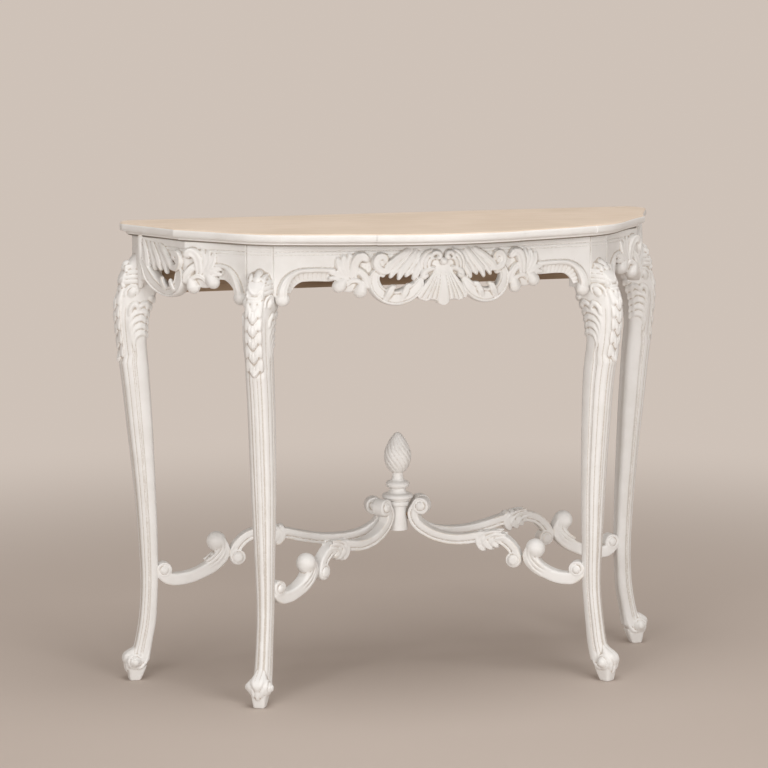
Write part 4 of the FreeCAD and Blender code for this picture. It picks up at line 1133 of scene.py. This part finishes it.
def top_rings():
    """Rings up the dark gap, the step, the hollow under the nose and the nose: height and inset."""
    rings = [(leg_height, gap_setback), (gap_high, gap_setback), (gap_high, step_setback)]
    for angle in np.linspace(0, math.pi / 2, hollow_rows):
        up = step_high + (nose_low - step_high) * math.sin(angle)
        rings.append((up, nose_radius + (step_setback - nose_radius) * math.cos(angle)))
    middle = (nose_low + table_height) / 2
    half = (table_height - nose_low) / 2
    for angle in np.linspace(-math.pi / 2, math.pi / 2, nose_rows)[1:]:
        rise = math.copysign(abs(math.sin(angle)) ** (2 / nose_squareness), angle)
        inset = nose_radius * (1 - max(math.cos(angle), 0) ** (2 / nose_squareness))
        rings.append((middle + half * rise, inset))
    return rings


def sharpen(mesh):
    """Marks the edges that turn sharply."""
    normals = read_rows(mesh.polygon_normals, "vector", 3)
    sides = {}
    for polygon in mesh.polygons:
        for key in polygon.edge_keys:
            sides.setdefault(key, []).append(polygon.index)
    for edge in mesh.edges:
        touching = sides[tuple(sorted(edge.vertices))]
        if len(touching) == 2 and normals[touching[0]] @ normals[touching[1]] < math.cos(sharp_turn):
            edge.use_edge_sharp = True


def top_gap_shadow(places):
    """Painted shadow: near-black paint in the gap between the top and the frame, where shade falls."""
    return np.where(places[:, 2] < (gap_high + step_high) / 2, gap_painted_shadow, 0)


def table_top():
    """The moulded board: white edge, cream upper face with a painted reflection of a warm wall."""
    stock = Stock()
    stock.loft([ring_of(*top_outline(inset).T, height) for height, inset in top_rings()])
    mesh = stock.mesh("moulded_top")
    sharpen(mesh)
    add_cavity(mesh, top_gap_shadow, 0)
    dress(new_object("moulded_top", mesh), "top_panel", "cream_top_paint", "white_paint", "cream_top_paint")
    for polygon in mesh.polygons:
        polygon.material_index = int(polygon.center.z > cream_low * metre)


# Aprons

def front_face(points):
    """Places on the front apron's curved face."""
    along, up, off = points.T
    spread = np.abs(along)
    bow = apron_middle_depth + (apron_corner_depth - apron_middle_depth) * (spread / apron_corner_x) ** 2
    slope = (apron_end_depth - apron_corner_depth) / (apron_end_x - apron_corner_x)
    run = apron_corner_depth + slope * (spread - apron_corner_x)
    depth = np.where(spread < apron_corner_x, bow, run)
    return np.column_stack([along, rear_line - depth - off, up])


def front_face_left(points):
    """The same on the left half."""
    return front_face(points * np.array((-1, 1, 1)))


def side_face(points):
    """Places on the right side apron's face, measured from its kink, backward positive."""
    along, up, off = points.T
    stretches = []
    for end, sign in ((side_front_end, -1), (side_rear_end, 1)):
        run = np.array(end) - side_kink
        length = np.linalg.norm(run)
        run = run / length
        outward = sign * np.array((run[1], -run[0]))
        share = np.clip(np.abs(along) / length, 0, 1)
        sag = 4 * side_sweep * share * (1 - share)
        stretches.append((side_kink + np.abs(along)[:, None] * run - sag[:, None] * outward, outward))
    (front, front_out), (rear, rear_out) = stretches
    weight = np.clip((along / side_blend + 1) / 2, 0, 1)[:, None]
    outward = front_out * (1 - weight) + rear_out * weight
    outward = outward / np.linalg.norm(outward, axis=1)[:, None]
    return np.column_stack([np.where(along[:, None] > 0, rear, front) + outward * off[:, None], up])


def board(stock, hem_rows, place):
    """An apron's board with a shaped hem and the frieze lines cut in its face."""
    keys = [row[0] for row in hem_rows]
    alongs = np.arange(keys[0], keys[-1] + carving_step, carving_step)
    alongs[-1] = keys[-1]
    hems = smooth_values(keys, [row[1:] for row in hem_rows], alongs)[:, 0]
    rings = []
    for along, hem in zip(alongs, hems):
        face = [(leg_height, 0)]
        for line in frieze_lines[::-1]:
            face += [(line + frieze_line_half, 0), (line, -frieze_line_depth), (line - frieze_line_half, 0)]
        face += [(hem + (frieze_lines[0] - hem) * share, 0) for share in board_level_shares]
        cut = hem_round * hem_cut_share
        face += [(hem + hem_round, 0), (hem + cut, -cut), (hem, -hem_round)]
        face += [(hem, -apron_thickness), (leg_height, -apron_thickness)]
        rings.append([(along, up, off) for up, off in face])
    stock.loft(rings, place)


def cove(stock, rows, place):
    """The hollow fluted band along the hem, with a bead on its upper edge."""
    line = smooth_rows([(along, up, 0, half) for along, up, half in rows])
    across = across_line(line)
    across = across * np.sign(across[0, 1])
    flutes = cove_flute_depth * np.abs(np.sin(math.pi * row_keys(line[:, :2]) / cove_flute_pitch))
    rings = []
    for spot, side, flute in zip(line, across, flutes):
        ring = []
        for (wide, depth), share in zip(cove_profile_shares, cove_flute_shares):
            off = depth * cove_depth + share * (flute - cove_flute_depth)
            ring.append((*(spot[:2] + side * wide * spot[3]), off))
        rings.append(ring)
    stock.loft(rings, place)


def strand_rows(line, lower):
    """Rows of one strand from its line of places; every other strand lies lower."""
    return [(along, up, off - lower, half, thick) for (along, up), off, half, thick
            in zip(line, strand_stand, strand_half_widths, strand_half_thickness)]


def scroll_panel(stock, kind, place, turn):
    """The pierced scroll: crescent, upper scroll and the strands between them."""
    stock.hollowed(kind.crescent, place)
    for rows in kind.tips:
        stock.fluted(rows, place)
    stock.stroke(turn(upper_scroll_boss_rows), place)
    stock.fluted(turn(upper_scroll_rows), place)
    for number, line in enumerate(kind.strands):
        rows = strand_rows(line, strand_alternate * (number % 2))
        stock.fluted(rows, place, strand_ridges, strand_ridge_rise)


def leaf(stock, place, turn):
    """The leaf beside a scroll: curled tip and fingers."""
    stock.stroke(turn(leaf_body_rows), place)
    stock.fluted(turn(leaf_curl_rows), place, rise=curl_ridge_rise)
    for rows in leaf_drop_rows:
        stock.stroke(turn(rows), place)
    for rows in leaf_finger_rows:
        stock.fluted(turn(rows), place)


def toward_rear(rows):
    """Front scroll rows turned round for the side apron's rear stretch."""
    return moved(flipped(rows), scroll_turn)


def toward_front(rows):
    """Front leaf rows moved to the side apron's front stretch."""
    return moved(flipped(rows), side_leaf_start, side_leaf_lift)


def apron(stock, kind, place, turn_scroll=tuple, turn_leaf=tuple):
    """An apron's board, scroll, leaf and cove; a turn of tuple leaves rows as they are."""
    board(stock, kind.hem, place)
    scroll_panel(stock, kind, place, turn_scroll)
    leaf(stock, place, turn_leaf)
    cove(stock, kind.cove, place)
    stock.ball(kind.ball, place)
    stock.fluted(kind.cove_end, place, cove_end_ridges, cove_end_ridge_rise)


def front_apron():
    """The front apron, both halves."""
    stock = Stock()
    for place in (front_face, front_face_left):
        apron(stock, front_carving, place)
    carved_piece("carved_front_apron", "front_apron", stock, apron_voxel)


def shell_fan(stock):
    """The domed fan with grooves between its ribs and a scalloped lower edge."""
    height = shell_fan_high - shell_fan_low
    downs = np.linspace(0, 1, int(height / shell_fan_step))
    sizes = smooth_values([row[0] for row in shell_fan_rows], [row[1:] for row in shell_fan_rows], downs)
    shares = np.linspace(-1, 1, shell_fan_count)
    spread = np.abs(shares)
    drops = np.interp(spread, *zip(*shell_fan_drop_shares))
    groove = sum(bell(spread - rib, shell_groove_half_share) for rib in shell_rib_shares)
    rings = []
    for down, (half, stand) in zip(downs, sizes):
        along = shares * half
        up = shell_fan_high - down * height * (1 + drops)
        off = stand - shell_side_fall * spread ** shell_fall_power * down
        off = off - shell_groove_depth * groove * min(down / shell_groove_start_share, 1)
        rings.append(np.vstack([ring_of(along, up, off), ring_of(along, up, shell_fan_back)[::-1]]))
    stock.loft(rings, front_face)


def front_shell():
    """The shell with its volutes, bands and fan."""
    stock = Stock()
    shell_fan(stock)
    stock.ball(shell_ball, front_face)
    stock.stroke(shell_back_rows, front_face, squareness=shell_squareness)
    for place in (front_face, front_face_left):
        stock.strokes((shell_volute_rows, *shell_wing_rows, shell_side_curl_rows), place)
    carved_piece("carved_shell", "front_shell", stock, apron_voxel)


def side_aprons():
    """The two side aprons."""
    stock = Stock()
    apron(stock, side_carving, side_face, toward_rear, toward_front)
    stock.strokes(side_stem_rows, side_face)
    pair("{}_side_apron", stock, apron_voxel)


# Legs

class Leg:
    """One right leg's shapes, in its own frame: out from the ankle, up, and to the side."""

    def __init__(self, kind):
        self.kind = kind
        rows = np.array(kind.profile)
        self.keys = rows[:, 0] * leg_height
        self.sizes = rows[:, 1:] * np.array((knee_reach, knee_reach, knee_half_width))
        self.depth_shares, self.width_shares = np.array(section_shares)[-2::-1].T
        turn = math.radians(kind.turn)
        self.turned = np.array(((math.cos(turn), -math.sin(turn)), (math.sin(turn), math.cos(turn))))

    def place(self, points):
        """From the leg's frame to the table's."""
        plan = points[:, ::2] @ self.turned + (self.kind.x, self.kind.y)
        return np.column_stack([plan, points[:, 1]])

    def found(self, places):
        """From the table's frame to the leg's, across measured from its leaning middle."""
        out, side = self.turned @ (places[:, :2] - (self.kind.x, self.kind.y)).T
        return out, places[:, 2], side - self.lean(places[:, 2])

    def lean(self, up):
        """How far the shank stands to the side at a height."""
        share = (up / leg_height - lean_low_share) / (lean_high_share - lean_low_share)
        return self.kind.shift * np.clip(share, 0, 1)

    def sizes_at(self, up):
        """Back, front and half width at heights, the front without its husks."""
        up = np.clip(np.atleast_1d(up), self.keys[0], self.keys[-1])
        sizes = smooth_values(self.keys, self.sizes, up)
        fades = np.minimum(up - husk_low, husk_high - up) / husk_fade
        sizes[:, 1] -= husk_rise * np.clip(fades, 0, 1)
        return sizes

    def knee_face(self, points, wrap=1):
        """Places on the front band: across, up and off it, wrapped round the section."""
        across, up, off = points.T
        back, front, half = self.sizes_at(up).T
        rise = self.sizes_at(up + slope_step)[:, 1] - self.sizes_at(up - slope_step)[:, 1]
        slope = rise / (2 * slope_step)
        wide = np.clip(np.abs(across) / half, 0, 1)
        share = 1 - wrap * (1 - np.interp(wide, self.width_shares[::-1], self.depth_shares[::-1]))
        out = back + share * (front - back)
        length = np.sqrt(1 + slope * slope)
        return self.place(ring_of(out + off / length, up - off * slope / length, across + self.lean(up)))

    def head_face(self, points):
        """The same on the knee's flatter head."""
        return self.knee_face(points - (0, 0, head_sink), head_wrap_share)

    def flank(self, side):
        """A function that gives places on one side face: share of the depth, up and off it."""
        def face(points):
            share, up, off = points.T
            back, front, half = self.sizes_at(up).T
            wide = np.interp(share, self.depth_shares, self.width_shares)
            across = self.lean(up) + side * (wide * half + off)
            return self.place(ring_of(back + share * (front - back), up, across))
        return face

    def foot(self, points):
        """Places measured from above the foot's middle."""
        return self.place(points + (self.kind.throw, 0, 0))


def fade(up, high):
    """1 from the foot's end of the lines to a height, falling to 0 past both."""
    return np.clip((up - lines_low) / line_fade, 0, 1) * np.clip((high - up) / line_fade, 0, 1)


def shank_cut(share, across, up):
    """How deep the lines along the shank are cut at a point of its section."""
    cut = bell(np.abs(across) - band_line, band_line_half) * (share > band_low_share)
    cut = cut * fade(up, band_lines_high)
    for line in edge_line_shares:
        cut = cut + bell(share - line, edge_line_half_share) * fade(up, edge_lines_high)
    inside = np.clip((share - channel_low_share) / channel_edge_share, 0, 1)
    inside = inside * np.clip((channel_high_share - share) / channel_edge_share, 0, 1)
    return band_line_depth * cut + channel_depth * inside * fade(up, channel_high)


def shank(stock, leg):
    """The leg's curved shank with its band, beads and channels."""
    outline = np.array(section_shares)
    keys = row_keys(outline)
    half = smooth_values(keys, outline, np.linspace(0, keys[-1], section_points))
    shares, wides = np.vstack([half, half[-2:0:-1] * np.array((1, -1))]).T
    rings = []
    for up in np.arange(shank_low, shank_high, plain_step):
        back, front, width = leg.sizes_at(up)[0]
        ring = np.column_stack([back + shares * (front - back), wides * width])
        inward = across_line(np.vstack([ring[-1:], ring, ring[:1]]))[1:-1]
        out, across = (ring + inward * shank_cut(shares, ring[:, 1], up)[:, None]).T
        rings.append(ring_of(out, up, across + leg.lean(up)))
    stock.loft(rings, leg.place)


def leg_block(stock, leg):
    """The plain block at the leg's head, with the frieze lines."""
    levels = [(block_low, 0)]
    for line in frieze_lines:
        levels += [(line - frieze_line_half, 0), (line, frieze_line_depth), (line + frieze_line_half, 0)]
    levels += [(leg_height - block_edge, 0), (leg_height, block_edge)]
    back, wide = leg.kind.back, block_half_width
    rings = []
    for up, inset in levels:
        front = leg.kind.front - inset
        half = [(back, wide - block_edge), (back + block_edge, wide)]
        half += [(front - block_edge, wide), (front, wide - block_edge)]
        corners = flipped(half, 1) + half[::-1]
        rings.append([(out, up, leg.kind.shift + side) for out, side in corners])
    stock.loft(rings, leg.place)


def knee_carving(stock, leg):
    """Cartouche and husks down the front of the knee."""
    for tip in husk_tips:
        edge = whole_edge(moved(husk_edge_rows, 0, tip))
        stock.plate(edge, husk_shift, leg.knee_face, husk_profile_shares)
        stock.strokes(both([moved(rows, 0, tip) for rows in husk_vein_rows]), leg.knee_face)
    stock.stroke(head_body_rows, leg.head_face, sides=strap_sides, squareness=head_squareness)
    stock.plate(whole_edge(shield_edge_rows), shield_shift, leg.head_face)
    stock.strokes(cartouche_rows, leg.head_face)
    stock.strokes(both(cartouche_side_rows), leg.head_face)
    for spot in crown_balls:
        stock.ball(spot, leg.head_face)


def on_flank(rows, leg, side):
    """Rows with shares of a leg's depth as lengths on its side face, and the function that places them."""
    back, front, half = leg.sizes_at(np.mean([row[1] for row in rows]))[0]
    scale = np.array((front - back, 1, 1))

    def place(points):
        return leg.flank(side)(points / scale)

    return [(row[0] * scale[0], *row[1:]) for row in rows], place


def flank_carving(stock, leg):
    """Leaf lobes, ribs and the small curl on both sides of the knee."""
    lobes = [moved(back_lobe_rows, 0, height) for height in back_lobe_heights]
    crests = [moved(crest_rib_rows, 0, height) for height in crest_rib_heights]
    for side in (-1, 1):
        for rows in knee_leaf_edges:
            edge, place = on_flank(rows, leg, side)
            stock.plate(edge, knee_leaf_shift, place)
        for rows in (*knee_rib_rows, *crests, *lobes):
            stock.stroke(*on_flank(rows, leg, side))


def foot(stock, leg):
    """The pad, the rolled foot and its toe leaf."""
    wide, deep = round_ring(pad_points, pad_squareness)
    stock.loft([ring_of(out + wide * half, up, deep * width) for up, out, half, width in pad_rows], leg.foot)
    for radius, half in foot_roll_sizes:
        stock.volute(foot_roll_spot, radius, half, leg.foot, button=wide_button_share)
    strokes = (foot_band_rows, toe_body_rows, *toe_leaf_rows, *both([toe_side_rows], 2))
    stock.strokes(strokes, leg.foot, squareness=band_squareness)


def leg_glaze_and_shade(leg):
    """A function that gives the darkening along a leg: glazing and painted shade in its cut lines, painted
    shadow at its small holes, and the dark joints by the block.
    """
    tops = [(share, channel_high) for share in (channel_low_share, channel_high_share)]
    tops += [(share, edge_lines_high) for share in edge_line_shares]
    holes = knee_holes + tuple((husk_hole[0], tip + husk_hole[1]) for tip in husk_tips)

    def glaze_and_shade_lines(places):
        out, up, across = leg.found(places)
        across = np.abs(across)
        back, front, half = leg.sizes_at(up).T
        share = (out - back) / (front - back)
        # Glazing and painted shade along the cut lines
        lines = bell(across - band_line, glaze_and_shade_line_half) * (share > band_low_share)
        lines = lines * fade(up, band_lines_high)
        for line, top in tops:
            near = bell((share - line) * (front - back), glaze_and_shade_line_half)
            lines = np.maximum(lines, near * fade(up, top))
        lines = lines * line_glaze_and_shade
        # Painted shadow spots at the small holes
        for wide, height in holes:
            near = bell(np.hypot(across - wide, up - height), hole_radius)
            lines = np.maximum(lines, hole_painted_shadow * near * (share > channel_high_share))
        joint = bell(across - block_half_width, joint_half) * (up > joint_low)
        return np.maximum(lines, joint_glaze * joint)
    return glaze_and_shade_lines


def legs():
    """The four legs."""
    for kind, end in ((front_leg, "front"), (rear_leg, "rear")):
        leg = Leg(kind)
        stock = Stock()
        for carve in (shank, leg_block, knee_carving, flank_carving, foot):
            carve(stock, leg)
        pair(end + "_{}_leg", stock, leg_voxel, leg_glaze_and_shade(leg))


# Stretcher

class Upright:
    """An upright plane from one plan place toward another: run, up and to the side."""

    def __init__(self, start, end):
        self.start = np.array(start)
        run = np.array(end) - self.start
        self.length = np.linalg.norm(run)
        self.along = run / self.length

    def place(self, points):
        """From the plane's frame to the table's."""
        run, up, side = points.T
        sideways = np.array((-self.along[1], self.along[0]))
        return np.column_stack([self.start + run[:, None] * self.along + side[:, None] * sideways, up])


def arms():
    """The four S scroll arms with their leaves."""
    for kind, end in ((front_arm, "front"), (rear_arm, "rear")):
        plane = Upright((0, hub_y), (kind.x, kind.y))
        stretch = plane.length - arm_seat
        line = smooth_rows([(arm_seat + share * stretch, arm_low + lift * arm_rise, 0, 0, 0)
                            for share, lift in kind.shares])
        stock = Stock()
        for offset, half, width in arm_strap_rows:
            strap = beside(line, offset)
            strap[:, 3:] = half, width
            stock.stroke(strap, plane.place, sides=strap_sides, squareness=arm_squareness)
        stock.volute(hub_roll_spot, hub_roll_radius, roll_half, plane.place, hub_roll_start_share)
        roll = (plane.length, kind.roll_height)
        stock.volute(roll, arm_roll_radius, roll_half, plane.place, button=wide_button_share)
        for rows in arm_leaf_rows:
            stock.fluted(moved(rows, kind.leaf_run, kind.leaf_height), plane.place, faces=(-1, 1))
        sides = [moved(rows, kind.leaf_run, kind.leaf_height) for rows in arm_leaf_side_rows]
        stock.strokes(both(sides, 2), plane.place)
        pair(end + "_{}_arm", stock, arm_voxel)


def foot_scrolls():
    """The four C scrolls from the arms to the legs."""
    for kind, end in ((front_arm, "front"), (rear_arm, "rear")):
        plane = Upright((kind.x, kind.y), (kind.leg.x, kind.leg.y))
        leg_run = plane.length - leg_roll_gap
        span = leg_run - foot_ball_run
        rise = kind.ball_height - foot_low
        strap = [(foot_ball_run + share * span, foot_low + lift * rise, 0, foot_half_thickness * thick,
                  foot_half_width) for share, lift, thick in foot_scroll_shares]
        stock = Stock()
        stock.stroke(strap, plane.place, sides=strap_sides, squareness=arm_squareness)
        stock.ball((foot_ball_run, kind.ball_height, 0, foot_ball_radius), plane.place)
        roll = (leg_run, leg_roll_height)
        stock.volute(roll, leg_roll_radius, leg_roll_half, plane.place, leg_roll_start_share)
        leaves = [moved(rows, foot_ball_run, kind.ball_height) for rows in foot_leaf_rows]
        stock.strokes(both(leaves, 2), plane.place)
        tip = moved(foot_tip_rows, foot_ball_run, kind.ball_height)
        stock.fluted(tip, plane.place, foot_tip_ridges, foot_tip_ridge_rise)
        pair(end + "_{}_foot_scroll", stock, arm_voxel)


def flame_share(up):
    """The share of the flame's height that a height above the finial's foot is at."""
    low, high = flame_rows[0][0], flame_rows[-1][0]
    return (up - low) / (high - low)


def flame_fluting(angles, share):
    """How full the flame is at angles round it, at a share of its height: 0 in a flute's groove."""
    phase = flame_flutes * (angles + flame_turn * share)
    return np.abs(np.cos(phase / 2)) ** flame_flute_power


def flame_lines(places):
    """Glazing and painted shade in the grooves of the flame."""
    share = flame_share(places[:, 2] - finial_low)
    angles = np.arctan2(places[:, 1] - hub_y, places[:, 0])
    ends = np.clip(np.minimum(share, 1 - share) / flame_start_share, 0, 1)
    return flame_glaze_and_shade * (1 - flame_fluting(angles, share)) * ends


def finial():
    """The turned foot and the spirally fluted flame."""
    angles = ring_angles(finial_points)
    turned = smooth_rows([(*row, 0) for row in turned_rows], finial_step / 2)
    rings = [(up, radius) for up, radius, off in turned]
    for up, radius, off in smooth_rows([(*row, 0) for row in flame_rows], finial_step)[1:]:
        share = flame_share(up)
        depth = flame_flute_depth_share * min(share / flame_start_share, (1 - share) / flame_end_share, 1)
        rings.append((up, radius * (1 - depth * (1 - flame_fluting(angles, share)))))
    stock = Stock()
    stock.loft([ring_of(radius * np.cos(angles), hub_y + radius * np.sin(angles), finial_low + up)
                for up, radius in rings])
    mesh = stock.mesh("turned_finial")
    add_cavity(mesh, flame_lines)
    painted("turned_finial", "finial", mesh)


# Solids that show as they are

def paint_solids():
    """Materials for the solids that no carved piece stands for."""
    subparts = {part["node"]: part["material_slot"] for part in frame["record"]["subparts"]}
    for name, solid in frame["nodes"].items():
        solid.data.materials.clear()
        solid.data.materials.append(materials[subparts[name]])


# Floor, light and camera

def floor():
    """A plain pale floor that passes into the surround farther off."""
    signs = ((-1, -1), (1, -1), (1, 1), (-1, 1))
    corners = [(across * floor_half, back * floor_half, 0) for across, back in signs]
    mesh = bpy.data.meshes.new("floor")
    mesh.from_pydata(corners, [], [(0, 1, 2, 3)])
    ground = new_object("floor", mesh)
    nodes = Nodes(bpy.data.materials.new("floor"))
    shader = nodes.tree.nodes["Principled BSDF"]
    color = nodes.mix(nodes.range(nodes.noise(*floor_patches), *floor_patch_range), floor_color, sky_color)
    nodes.fill(shader, {"Base Color": color, "Roughness": floor_roughness})
    distance = nodes.new("ShaderNodeVectorMath", {0: nodes.coordinates()}, operation="LENGTH")
    far = nodes.range(distance.outputs["Value"], floor_near, floor_far)
    plain = nodes.new("ShaderNodeEmission", {"Color": sky_color})
    share = nodes.math("MULTIPLY", far, nodes.seen())
    inputs = {"Fac": share, 1: shader.outputs["BSDF"], 2: plain.outputs["Emission"]}
    blend = nodes.new("ShaderNodeMixShader", inputs)
    nodes.fill(nodes.tree.nodes["Material Output"], {"Surface": blend.outputs["Shader"]})
    mesh.materials.append(nodes.holder)


def area_light(name, place, size, power):
    """A soft square light that faces the table."""
    lamp = bpy.data.lights.new(name, "AREA")
    lamp.size = size
    lamp.energy = power
    light = new_object(name, lamp)
    light.location = place
    direction = np.array(light_aim) - np.array(place)
    flat = math.hypot(direction[0], direction[1])
    light.rotation_euler = (math.atan2(flat, -direction[2]), 0, math.atan2(-direction[0], direction[1]))


def sky():
    """An even pale surround: dimmer as a light than as it is seen."""
    world = bpy.data.worlds.new("surround")
    nodes = Nodes(world)
    strength = nodes.range(nodes.seen(), 0, 1, sky_strength, 1)
    nodes.fill(nodes.tree.nodes["Background"], {"Color": sky_color, "Strength": strength})
    bpy.context.scene.world = world


def camera():
    """The photograph's viewpoint."""
    data = bpy.data.cameras.new("camera")
    data.lens = camera_lens
    data.sensor_width = camera_sensor
    eye = new_object("camera", data)
    eye.location = camera_place
    eye.rotation_euler = (math.pi / 2 - math.radians(camera_tilt), 0, math.radians(camera_pan))
    bpy.context.scene.camera = eye


paint_solids()
table_top()
front_apron()
front_shell()
side_aprons()
legs()
arms()
foot_scrolls()
finial()
floor()
for lamp in lamps:
    area_light(*lamp)
sky()
camera()
bpy.context.scene.view_settings.view_transform = "Standard"
